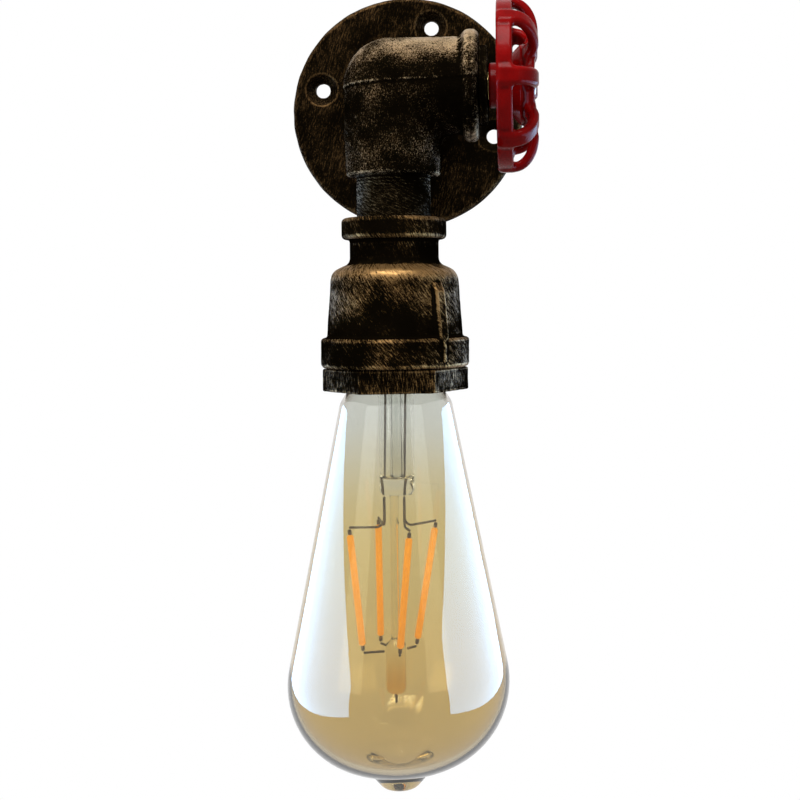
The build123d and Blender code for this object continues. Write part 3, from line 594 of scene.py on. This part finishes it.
def make_stem():
    tube, hollow, top, hollow_end = 5.05, 4.15, 82.6, 113.0
    stem = lathe("blown_stem", [
        (10.5, top), (11.4, top), (11.4, top + 1.0, 0.4), (tube, 89.0, 5.0), (tube, 116.6, 1.2),
        (4.3, PINCH_BOTTOM, 0.6), (0, PINCH_BOTTOM), (0, hollow_end), (hollow, hollow_end, 1.0),
        (hollow, 89.0, 6.0)], DOWN, "bulb", turns=96, step=1.0)
    pinch_top, pinch_reach, pinch = -0.1105, 0.006, 0.55
    axis = -AXIS_TO_WALL * MM
    for vertex in stem.data.vertices:
        amount = min(max((pinch_top - vertex.co.z) / pinch_reach, 0.0), 1.0)
        vertex.co.y = axis + (vertex.co.y - axis) * (1 - pinch * amount)
    dress(stem, glass["clear"], "stem_flare")
    bore, outer, end = 1.3, 2.0, 112.9
    pump = lathe("pump_tube", [(bore, 80.0), (outer, 80.0, 0.2), (outer, end, 0.2), (bore, end)], DOWN,
                 "bulb", turns=48, step=2.0)
    dress(pump, glass["clear"], "exhaust_tube")
    rod, foot = 1.3, 2.9
    post = lathe("glass_post", [
        (0, PINCH_BOTTOM), (rod, PINCH_BOTTOM), (rod, POST_FOOT_TOP - 1.6, 1.0),
        (foot, POST_FOOT_TOP, 1.4), (foot, POST_END, 2.4), (0, POST_END)],
        leaning, "bulb", turns=48, step=1.0, closed=False)
    dress(post, glass["post"], "centre_post")


def sweep(path, radius, turns=14):
    """Points and faces of a round wire with softened ends along a path in the lamp frame."""
    path = np.array(path, float)
    steps = np.diff(path, axis=0)
    steps /= np.linalg.norm(steps, axis=1)[:, None]
    first, last, soft = steps[0], steps[-1], radius * 0.5
    stations = [(path[0], first, 0.0), (path[0], first, radius - soft),
                (path[0] + first * soft, first, radius)]
    for before, here, after in zip(steps, path[1:], steps[1:]):
        middle = before + after
        stations.append((here, middle / np.linalg.norm(middle), radius))
    stations += [(path[-1] - last * soft, last, radius), (path[-1], last, radius - soft),
                 (path[-1], last, 0.0)]
    side = np.cross(first, (0.3, 0.9, 0.1))
    angles = np.arange(turns) * 2 * math.pi / turns
    points, rings = [], []
    for place, axis, size in stations:
        side = side - axis * (side @ axis)
        side /= np.linalg.norm(side)
        other = np.cross(axis, side)
        number = turns if size else 1
        rings.append(range(len(points), len(points) + number))
        points += [place + size * (side * math.cos(t) + other * math.sin(t)) for t in angles[:number]]
    faces = []
    for low, high in zip(rings, rings[1:]):
        faces += skin(low, high)
    return points, faces


def wires(name, runs, material, node):
    """Several wires in one piece; a run is (path, radius) in the lamp frame."""
    points, faces = [], []
    for path, radius in runs:
        more, quads = sweep(path, radius)
        faces += [tuple(i + len(points) for i in quad) for quad in quads]
        points += more
    piece = mesh_object(name, leaning(points), faces, "bulb")
    return dress(piece, material, node)


def bent(start, corner, end, radius, parts=8):
    """Path with an arc at its corner."""
    start, corner, end = (np.array(point, float) for point in (start, corner, end))
    u, v = start - corner, end - corner
    u, v = u / np.linalg.norm(u), v / np.linalg.norm(v)
    half = math.acos(u @ v) / 2
    middle = corner + (u + v) / np.linalg.norm(u + v) * radius / math.sin(half)
    first, last = (corner + side * radius / math.tan(half) - middle for side in (u, v))
    return [start, *arc(middle, first, last, math.pi - 2 * half, parts), end]


def on_circle(number, radius, height, shift=0.0):
    """Point at one of the four filaments' angles, moved to the left by the shift."""
    angle = math.radians(-25 + 90 * number)
    return np.array((radius * math.cos(angle) - shift, radius * math.sin(angle), height))


def make_filaments():
    tab_length, tab_radius, wire_gap = 1.6, 0.55, 2.15
    lead, spread, fall, bend = 2.9, 0.6, 9.2, 2.4
    top_end, bottom_end = (13.0, 128.5, 0.4), (8.4, 160.5, 1.6)      # radius, height and shift
    tabs, upper, lower = [], [], []
    for number in range(4):
        top, bottom = on_circle(number, *top_end), on_circle(number, *bottom_end)
        step = (bottom - top) / np.linalg.norm(bottom - top)
        # Each filament takes the material with the painted glow.
        wires(f"painted_glow_filament_{number + 1}", [((top, bottom), 1.0)], finish["filament"],
              f"filament_{number + 1}")
        tabs += [((top - step * tab_length, top), tab_radius),
                 ((bottom, bottom + step * tab_length), tab_radius)]
        start = np.array((math.copysign(lead, top[0]), math.copysign(spread, top[1]), PINCH_BOTTOM + 0.55))
        turn = (start[0], start[1], PINCH_BOTTOM + fall)
        upper.append((bent(start, turn, top - step * wire_gap, bend), WIRE_RADIUS))
        foot = on_circle(number, 3.45, POST_FOOT_TOP + 1.8)
        lower.append(((foot, bottom + step * wire_gap), WIRE_RADIUS))
    wires("metal_tabs", tabs, finish["wire"], "filament_tabs")
    wires("top_wires", upper, finish["wire"], "upper_supports")
    wires("low_wires", lower, finish["wire"], "lower_supports")
    leads = [(((x, 0, 78.6), (x, 0, PINCH_BOTTOM)), WIRE_RADIUS) for x in (-lead, lead)]
    wires("stem_leads", leads, finish["wire"], "lead_wires")
    wires("foot_wire", [(((0, 0, POST_END), (0, 0, POST_END + 3.0)), 0.4)], finish["wire"], "post_wire")


def make_cap():
    """Screw shell of the lamp, with its rolled thread."""
    wall, top, thread_top, thread_bottom = 0.35, 63.2, 64.2, 77.0
    pitch, depth, run_out = 3.629, 0.42, 1.5
    turns, rows = 72, 70
    profile = [(10.15, top), (12.3, top), (12.9, top + 0.4)]
    profile += [(13.1, height) for height in np.linspace(thread_top, thread_bottom, rows)]
    profile += [(13.3, 77.8), (13.65, 78.5), (13.65, 86.0)]
    both = [(r, h, 0.0) for r, h in profile] + [(r, h, wall) for r, h in profile[::-1]]
    points, rings = [], []
    for radius, height, inset in both:
        strength = depth * np.clip(min(height - thread_top, thread_bottom - height) / run_out, 0, 1)
        level = height + (wall if inset and height == top else 0)
        rings.append(range(len(points), len(points) + turns))
        for k in range(turns):
            angle = 2 * math.pi * k / turns
            r = radius - inset - strength * (1 - math.sin(2 * math.pi * height / pitch - angle))
            points.append((r * math.cos(angle), r * math.sin(angle), level))
    faces = []
    for low, high in zip(rings, rings[1:] + rings[:1]):
        faces += skin(low, high)
    dress(mesh_object("threaded_cap", DOWN(points), faces, "bulb"), finish["nickel"], "cap_shell")


# ---- materials ----
def dress(piece, material, *nodes):
    """Gives a piece its material; a piece of this script also takes the place of its node."""
    piece.data.materials.clear()
    piece.data.materials.append(material)
    if nodes:
        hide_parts(*nodes)
    return piece


class Graph:
    """A new material with a principled shader, and short calls for the nodes that materials share."""

    def __init__(self, name):
        self.material = bpy.data.materials.new(name)
        self.material.use_nodes = True
        self.nodes, self.links = self.material.node_tree.nodes, self.material.node_tree.links
        self.nodes.clear()
        self.shader = self.new("BsdfPrincipled")
        self.new("OutputMaterial", Surface=self.shader.outputs[0])
        self.place = self.new("TexCoord").outputs["Object"]

    def plug(self, socket, value):
        """Links a socket or sets a value; a colour is given without its alpha."""
        if isinstance(value, bpy.types.NodeSocket):
            self.links.new(value, socket)
        else:
            socket.default_value = (*value, 1.0) if socket.type == "RGBA" else value

    def set(self, node, **inputs):
        """Plugs sockets or values into a node's inputs; an underscore stands for a space."""
        for label, value in inputs.items():
            self.plug(node.inputs[label.replace("_", " ")], value)

    def new(self, kind, **inputs):
        node = self.nodes.new("ShaderNode" + kind)
        self.set(node, **inputs)
        return node

    def noise(self, scale, detail=4.0, rough=0.6, vector=None):
        return self.new("TexNoise", Vector=vector or self.place, Scale=scale, Detail=detail,
                        Roughness=rough).outputs["Fac"]

    def ramp(self, value, low, high, to_low=0.0, to_high=1.0):
        node = self.new("MapRange", Value=value, From_Min=low, From_Max=high, To_Min=to_low,
                        To_Max=to_high)
        node.interpolation_type = "SMOOTHSTEP"
        return node.outputs["Result"]

    def math(self, kind, a, b=0.0, clamp=False):
        node = self.new("Math")
        node.operation = kind
        node.use_clamp = clamp
        self.plug(node.inputs[0], a)
        self.plug(node.inputs[1], b)
        return node.outputs[0]

    def mix(self, factor, a, b):
        node = self.new("Mix", Factor=factor)
        node.data_type = "RGBA"
        for label, value in (("A", a), ("B", b)):
            socket = next(s for s in node.inputs if s.name == label and s.type == "RGBA")
            self.plug(socket, value)
        return next(s for s in node.outputs if s.type == "RGBA")

    def sum(self, *terms):
        total = terms[0]
        for term in terms[1:]:
            total = self.math("ADD", total, term)
        return total

    def scaled(self, value, gain):
        return self.math("MULTIPLY", value, gain)

    def axis(self, name, vector=None):
        return self.new("SeparateXYZ", Vector=vector or self.place).outputs[name]

    def band(self, value, middle, reach):
        """1 where the value is at the middle, falling to 0 at the reach on either side."""
        away = self.math("ABSOLUTE", self.math("SUBTRACT", value, middle))
        return self.ramp(away, 0.0, reach, 1.0, 0.0)

    def unrolled(self, kind):
        """Object coordinates, unrolled round the axis of a turned piece; flat leaves them."""
        if kind == "flat":
            return self.place
        mean_radius = 0.02
        x, z = self.axis("X"), self.axis("Z")
        y = self.math("ADD", self.axis("Y"), AXIS_TO_WALL * MM)
        a, b, height = {"drop": (x, self.scaled(y, -1.0), z), "rear": (x, z, y), "side": (y, z, x)}[kind]
        turn = self.scaled(self.math("ARCTAN2", a, b), mean_radius)
        return self.new("CombineXYZ", X=turn, Z=height).outputs[0]

    def brushed(self, vector, angle, scale):
        """Vector turned about Y and then stretched, so that a noise in it makes strokes."""
        turned = self.new("Mapping", Vector=vector, Rotation=(0, math.radians(angle), 0))
        return self.new("Mapping", Vector=turned.outputs[0], Scale=scale).outputs[0]

    # Convexity: worn copper on edges, and painted shade in the enamel's hollows.
    def wear_and_shade(self):
        node = self.new("Attribute")
        node.attribute_name = "wear_and_shade"
        return node.outputs["Fac"]

    def upward(self):
        return self.axis("Z", self.new("NewGeometry").outputs["Normal"])

    def bump(self, height, distance):
        self.set(self.shader, Normal=self.new("Bump", Distance=distance, Height=height).outputs[0])


def make_patina(name, kind, colours, angle, brush, cover, patch, edge, top=0.0, bands=(),
                grain=0.00008, metal=0.8, painted_top_highlight=0.0, glint=0.7):
    """Near-black casting, dry brushed with copper: worn edges, fine strokes and patches.

    colours: dark, copper and bright. angle and brush: direction and scale of the strokes. cover,
    patch, edge and top: how much copper there is in all, in patches, on edges and on upward faces;
    the copper on upward faces is partly dry brushing and partly painted light from above.
    bands: (axis, middle, reach, gain, gleam) stretches with more or less copper, and gleam is a
    painted highlight that brightens their copper. shine: a painted highlight, brighter copper on
    upward faces. glint: how bright the copper is in the strokes.
    """
    dark, copper, bright = colours
    g = Graph(name)
    vector = g.unrolled(kind)
    strokes = g.noise(1.0, 5, 0.68, g.brushed(vector, angle, brush))
    thin = g.noise(1.0, 3, 0.6, g.brushed(vector, angle * 0.7, [b * 2.1 for b in brush]))
    fine = g.noise(3200, 2, 0.6)
    broad = g.noise(85, 3, 0.55)
    worn = g.ramp(g.wear_and_shade(), 0.10, 0.40)
    hollow = g.ramp(g.wear_and_shade(), -0.30, -0.04, 1.0, 0.0)
    level = g.sum(strokes, g.scaled(thin, 0.45), g.scaled(fine, 0.35), g.scaled(broad, patch),
                  g.scaled(worn, edge), g.scaled(hollow, -0.3), cover - 0.4 - 0.5 * patch)
    # More copper on upward faces: partly dry brushing, and partly painted light from above.
    if top:
        level = g.sum(level, g.scaled(g.ramp(g.upward(), 0.05, 0.85), top))
    # lit: brighter copper on polished worn edges, plus the painted highlights added below.
    lit = g.scaled(worn, 0.6)
    # A stretch's gleam is a painted highlight that brightens its copper.
    for axis, middle, reach, gain, painted_gleam in bands:
        band = g.band(g.axis(axis), middle, reach)
        level = g.sum(level, g.scaled(band, gain))
        if painted_gleam:
            lit = g.sum(lit, g.scaled(band, painted_gleam))
    # Painted highlight: shine brightens the copper on upward faces, where the top light falls.
    if painted_top_highlight:
        lit = g.sum(lit, g.scaled(g.ramp(g.upward(), 0.3, 0.95), painted_top_highlight))
    mask = g.ramp(level, 0.47, 0.76)
    speck = g.ramp(g.math("ADD", strokes, g.scaled(fine, 0.5)), 0.6, 0.95)
    gilt = g.mix(g.math("ADD", g.scaled(speck, glint), lit, clamp=True), copper, bright)
    tone = g.mix(g.ramp(g.math("ADD", broad, g.scaled(fine, 0.5)), 0.6, 0.95), dark,
                 tuple(c * 1.7 for c in dark))
    g.set(g.shader, Base_Color=g.mix(mask, tone, gilt), Metallic=g.scaled(mask, metal),
          Roughness=g.ramp(mask, 0, 1, 0.55, 0.36), Specular_IOR_Level=0.0)
    g.bump(g.sum(g.noise(1500, 4, 0.65), g.scaled(mask, 0.3)), grain)
    return g.material


def make_red():
    g = Graph("red_enamel")
    tone = g.mix(g.ramp(g.noise(160, 3), 0.35, 0.7), (0.168, 0.0010, 0.0009), (0.118, 0.0005, 0.0006))
    # Painted shade: the enamel darkens to a deep red in the hollows of the casting.
    tone = g.mix(g.ramp(g.wear_and_shade(), -0.25, 0.0, 0.75, 0.0), tone, (0.045, 0.0003, 0.0004))
    g.set(g.shader, Base_Color=tone, Roughness=g.ramp(g.noise(600, 3), 0.3, 0.7, 0.22, 0.30),
          Specular_IOR_Level=0.02, Coat_Weight=0.045, Coat_Roughness=0.10)
    g.bump(g.noise(420, 3, 0.5), 0.00006)
    return g.material


def make_metal(name, colour, rough):
    g = Graph(name)
    grain = g.noise(900)
    g.set(g.shader, Base_Color=g.mix(g.ramp(grain, 0.3, 0.7), colour, tuple(c * 0.72 for c in colour)),
          Roughness=g.ramp(grain, 0.3, 0.7, rough * 0.8, rough * 1.25), Metallic=1.0)
    g.bump(grain, 0.00004)
    return g.material


def make_plain(name, colour, rough):
    g = Graph(name)
    grain = g.noise(500)
    g.set(g.shader, Base_Color=g.mix(g.ramp(grain, 0.3, 0.7), colour, tuple(c * 0.8 for c in colour)),
          Roughness=g.ramp(grain, 0.3, 0.7, rough * 0.85, rough * 1.15))
    g.bump(grain, 0.00004)
    return g.material


def make_filament_material():
    g = Graph("filament_phosphor")
    grain = g.noise(900, 3)
    # Painted glow: a weak orange emission stands in for light reaching the filaments through the glass.
    g.set(g.shader, Base_Color=g.mix(g.ramp(grain, 0.3, 0.7), (0.95, 0.41, 0.002), (0.86, 0.34, 0.002)),
          Roughness=g.ramp(grain, 0.3, 0.7, 0.4, 0.55),
          Emission_Color=(1.0, 0.40, 0.0), Emission_Strength=0.55)
    g.bump(grain, 0.00003)
    return g.material


def make_glass_material(name, stops, edge_tint=None):
    """Glass whose tint changes with height (metres in the row frame) and towards its outline."""
    g = Graph(name)
    height = g.math("ADD", g.axis("Z"), g.scaled(g.noise(40, 2), 0.006))
    tint = stops[0][1]
    for (high, above), (low, colour) in zip(stops, stops[1:]):
        tint = g.mix(g.ramp(height, low, high, 1.0, 0.0), tint, colour)
    if edge_tint:
        grazing = g.new("LayerWeight", Blend=0.5)
        tint = g.mix(g.ramp(grazing.outputs["Facing"], 0.42, 0.98, 0.0, 0.8), tint, edge_tint)
    g.set(g.shader, Base_Color=tint, Roughness=g.ramp(g.noise(300, 2), 0.3, 0.7, 0.0, 0.01),
          Transmission_Weight=1.0, IOR=1.5)
    return g.material


BLACK = (0.0022, 0.0015, 0.0007)
CAST = (BLACK, (0.056, 0.0275, 0.0075), (0.215, 0.122, 0.045))
PIPE = (BLACK, (0.026, 0.0160, 0.0065), (0.085, 0.060, 0.030))
patina = {
    "flange": make_patina(
        "flange_patina", "flat", (BLACK, (0.014, 0.0070, 0.0024), (0.065, 0.036, 0.014)), -14,
        (2900, 2900, 520), cover=-0.02, patch=0.7, edge=0.12, metal=0.55),
    "elbow": make_patina(
        "elbow_patina", "flat", (BLACK, (0.064, 0.032, 0.010), (0.38, 0.265, 0.145)), -6,
        # top and shine: more copper on upward faces, partly dry brushing and partly painted light from
        # above, brightened there by a painted highlight.
        (3200, 3200, 1700), cover=-0.08, patch=0.8, edge=0.08, top=0.19, grain=0.00022,
        painted_top_highlight=0.8, glint=0.25, bands=(("Z", -0.0205, 0.006, 0.05, 0),)),
    "bell": make_patina(
        "bell_patina", "drop", CAST, 40, (2600, 2600, 380), cover=-0.06, patch=0.65, edge=0.12,
        # The first stretch, on the shoulder, is a painted highlight: more copper there, and gleam makes it
        # brighter.
        bands=(("Z", -0.0532, 0.0048, 0.24, 0.8), ("Z", -0.0590, 0.0055, 0.05, 0),
               ("Z", -0.0690, 0.0045, -0.10, 0), ("Z", -0.0480, 0.0036, -0.08, 0),
               ("Z", -0.0410, 0.0050, -0.10, 0), ("X", 0.0150, 0.0100, 0.03, 0))),
    "hex": make_patina(
        "hex_patina", "drop", CAST, 7, (2600, 2600, 300), cover=-0.06, patch=0.65, edge=0.07,
        bands=(("X", 0.0075, 0.0110, 0.07, 0),)),
    "pipe": make_patina(
        "pipe_patina", "drop", PIPE, 78, (2700, 2700, 230), cover=-0.03, patch=0.6, edge=0.04),
    "back_pipe": make_patina(
        "back_pipe_patina", "rear", PIPE, 80, (2700, 2700, 230), cover=-0.03, patch=0.6, edge=0.04),
    "plug": make_patina(
        "plug_patina", "side", (BLACK, (0.022, 0.013, 0.005), (0.09, 0.06, 0.028)), 84,
        (2700, 2700, 250), cover=-0.14, patch=0.6, edge=0.06),
}
finish = {
    "red": make_red(),
    "steel": make_metal("blackened_steel", (0.35, 0.33, 0.31), 0.35),
    "nickel": make_metal("nickel_plate", (0.72, 0.70, 0.66), 0.24),
    "wire": make_metal("support_wire", (0.16, 0.12, 0.08), 0.4),
    "brass": make_metal("brass", (0.72, 0.5, 0.2), 0.3),
    "solder": make_metal("solder", (0.7, 0.7, 0.68), 0.35),
    "ceramic": make_plain("glazed_ceramic", (0.82, 0.80, 0.76), 0.25),
    "vitrite": make_plain("black_vitrite", (0.01, 0.01, 0.013), 0.15),
    "cement": make_plain("cap_cement", (0.66, 0.62, 0.54), 0.8),
    "board": make_plain("circuit_board", (0.03, 0.22, 0.08), 0.45),
    "sleeve": make_plain("capacitor_sleeve", (0.02, 0.02, 0.03), 0.3),
    "brown": make_plain("brown_insulation", (0.16, 0.06, 0.025), 0.5),
    "blue": make_plain("blue_insulation", (0.02, 0.10, 0.40), 0.5),
    "green": make_plain("green_insulation", (0.10, 0.32, 0.04), 0.5),
    "filament": make_filament_material(),
}
glass = {
    "bulb": make_glass_material("amber_glass", (
        (-0.090, (0.72, 0.73, 0.69)), (-0.128, (0.72, 0.63, 0.38)), (-0.165, (0.70, 0.58, 0.32)),
        (-0.190, (0.63, 0.53, 0.33))), (0.36, 0.24, 0.17)),
    "clear": make_glass_material("stem_glass", ((-0.09, (0.97, 0.975, 0.965)), (-0.12, (0.95, 0.94, 0.90)))),
    "post": make_glass_material("post_glass", ((-0.158, (0.93, 0.90, 0.80)), (-0.170, (0.86, 0.62, 0.25)))),
}


# ---- inner pieces keep their solids ----
def dress_inner_pieces():
    for node, material in (
            ("valve_stem", "brass"), ("lampholder_body", "ceramic"), ("lampholder_shell", "brass"),
            ("contact_tongue", "brass"), ("holder_rivets", "brass"), ("terminal_plates", "brass"),
            ("terminal_screws", "steel"), ("live_wire", "brown"), ("neutral_wire", "blue"),
            ("earth_wire", "green"), ("wire_ferrules", "solder"), ("earth_tag", "brass"),
            ("bulb_tip", "solder"), ("cap_insulator", "vitrite"), ("cap_cement", "cement"),
            ("driver_board", "board"), ("driver_capacitor", "sleeve")):
        dress(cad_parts[node], finish[material])


# ---- studio, in metres ----
def make_camera():
    """The photograph's view: close to the light, looking level at the wall."""
    frame_size = 800         # pixels on each side of the photograph
    scale = 3.458            # photograph pixels per millimetre in the plane of the lamp axis
    distance = 400.0         # millimetres from the camera to that plane
    eye_x, eye_y = 517.0, 300.0          # pixel that the camera faces
    axis_x, axis_y = 392.4, 86.8         # pixel of the middle of the elbow
    roll = math.radians(0.68)
    away_x, away_y = eye_x - axis_x, eye_y - axis_y
    turned_x = axis_x + away_x * math.cos(roll) + away_y * math.sin(roll)
    turned_y = axis_y + away_y * math.cos(roll) - away_x * math.sin(roll)
    data = bpy.data.cameras.new("camera")
    data.sensor_width = 36.0
    data.lens = scale * distance / frame_size * data.sensor_width
    data.shift_x = (frame_size / 2 - turned_x) / frame_size
    data.shift_y = (turned_y - frame_size / 2) / frame_size
    data.clip_start, data.clip_end = 0.01, 100.0
    camera = bpy.data.objects.new("camera", data)
    camera.location = (away_x / scale * MM, (-AXIS_TO_WALL - distance) * MM, -away_y / scale * MM)
    camera.rotation_euler = (math.radians(90), roll, 0)
    bpy.context.scene.collection.objects.link(camera)
    bpy.context.scene.camera = camera


def seen_white(tree, plain_kind, white_kind, out_kind):
    """Shows white to camera, glossy and transmission rays and a plain shader, given back, to the rest."""
    nodes, links = tree.nodes, tree.links
    nodes.clear()
    out, plain, white = nodes.new(out_kind), nodes.new(plain_kind), nodes.new(white_kind)
    white.inputs["Color"].default_value = (1, 1, 1, 1)
    white.inputs["Strength"].default_value = 1.0
    path = nodes.new("ShaderNodeLightPath")
    seen = path.outputs["Is Camera Ray"]
    for label in ("Is Glossy Ray", "Is Transmission Ray"):
        node = nodes.new("ShaderNodeMath")
        node.operation = "MAXIMUM"
        links.new(seen, node.inputs[0])
        links.new(path.outputs[label], node.inputs[1])
        seen = node.outputs[0]
    mix = nodes.new("ShaderNodeMixShader")
    for socket, source in zip(mix.inputs, (seen, plain.outputs[0], white.outputs[0])):
        links.new(source, socket)
    links.new(mix.outputs[0], out.inputs[0])
    return plain


def make_world():
    world = bpy.data.worlds.new("studio")
    world.use_nodes = True
    soft = seen_white(world.node_tree, "ShaderNodeBackground", "ShaderNodeBackground",
                      "ShaderNodeOutputWorld")
    soft.inputs["Color"].default_value = (1, 1, 1, 1)
    soft.inputs["Strength"].default_value = 0.22
    bpy.context.scene.world = world


def make_floor():
    level, half = -0.70, 3.0
    mesh = bpy.data.meshes.new("floor")
    corners = [(-half, -half, level), (half, -half, level), (half, half, level), (-half, half, level)]
    mesh.from_pydata(corners, [], [(0, 1, 2, 3)])
    floor = bpy.data.objects.new("floor", mesh)
    bpy.context.scene.collection.objects.link(floor)
    material = bpy.data.materials.new("pale_floor")
    material.use_nodes = True
    pale = seen_white(material.node_tree, "ShaderNodeBsdfDiffuse", "ShaderNodeEmission",
                      "ShaderNodeOutputMaterial")
    pale.inputs["Color"].default_value = (0.86, 0.86, 0.86, 1)
    mesh.materials.append(material)


def area_light(name, place, target, size, power):
    data = bpy.data.lights.new(name, "AREA")
    data.shape = "RECTANGLE"
    data.size, data.size_y = size
    data.energy = power
    light = bpy.data.objects.new(name, data)
    light.location = place
    light.rotation_euler = (Vector(target) - Vector(place)).to_track_quat("-Z", "Y").to_euler()
    light.visible_camera = False
    bpy.context.scene.collection.objects.link(light)
    return light


def side_softbox(name, across, near, far, low, high, tilt):
    """Broad softbox beside the lamp, along the Y axis; only mirrored rays see it."""
    radiance = 11.0
    middle, height = (near + far) / 2 - AXIS_TO_WALL * MM, (low + high) / 2
    power = radiance * math.pi * (far - near) * (high - low)
    light = area_light(name, (across, middle, height), (0, middle, height), (far - near, high - low), power)
    light.data.color = (0.38, 0.65, 1.0)
    facing = light.rotation_euler.to_quaternion()
    light.rotation_euler = (Quaternion((1, 0, 0), math.radians(tilt)) @ facing).to_euler()
    light.visible_diffuse = False
    light.visible_transmission = False


def make_lights():
    side_softbox("left_softbox", across=-0.40, near=-0.40, far=0.42, low=-0.328, high=-0.058, tilt=8)
    side_softbox("right_softbox", across=0.40, near=-0.29, far=0.60, low=-0.300, high=-0.022, tilt=9)
    area_light("top_softbox", (-0.05, -0.36, 0.55), (0, -0.06, 0.0), (0.45, 0.30), 7.0)
    for name, across, power in (("left_fill", -0.9, 5.0), ("right_fill", 0.9, 4.0)):
        fill = area_light(name, (across, -0.9, 0.2), (0, -0.06, -0.10), (0.6, 0.9), power)
        fill.visible_glossy = False


# ---- the scene ----
make_camera()
make_world()
make_floor()
make_lights()
for piece in (make_flange(), make_elbow(), make_reducer(), make_bush(), make_plug(), *make_pipes()):
    add_wear_and_shade(piece)
add_wear_and_shade(make_wheel())
make_wheel_fastener()
make_glass()
make_stem()
make_filaments()
make_cap()
dress_inner_pieces()
bpy.context.scene.view_settings.view_transform = "Standard"
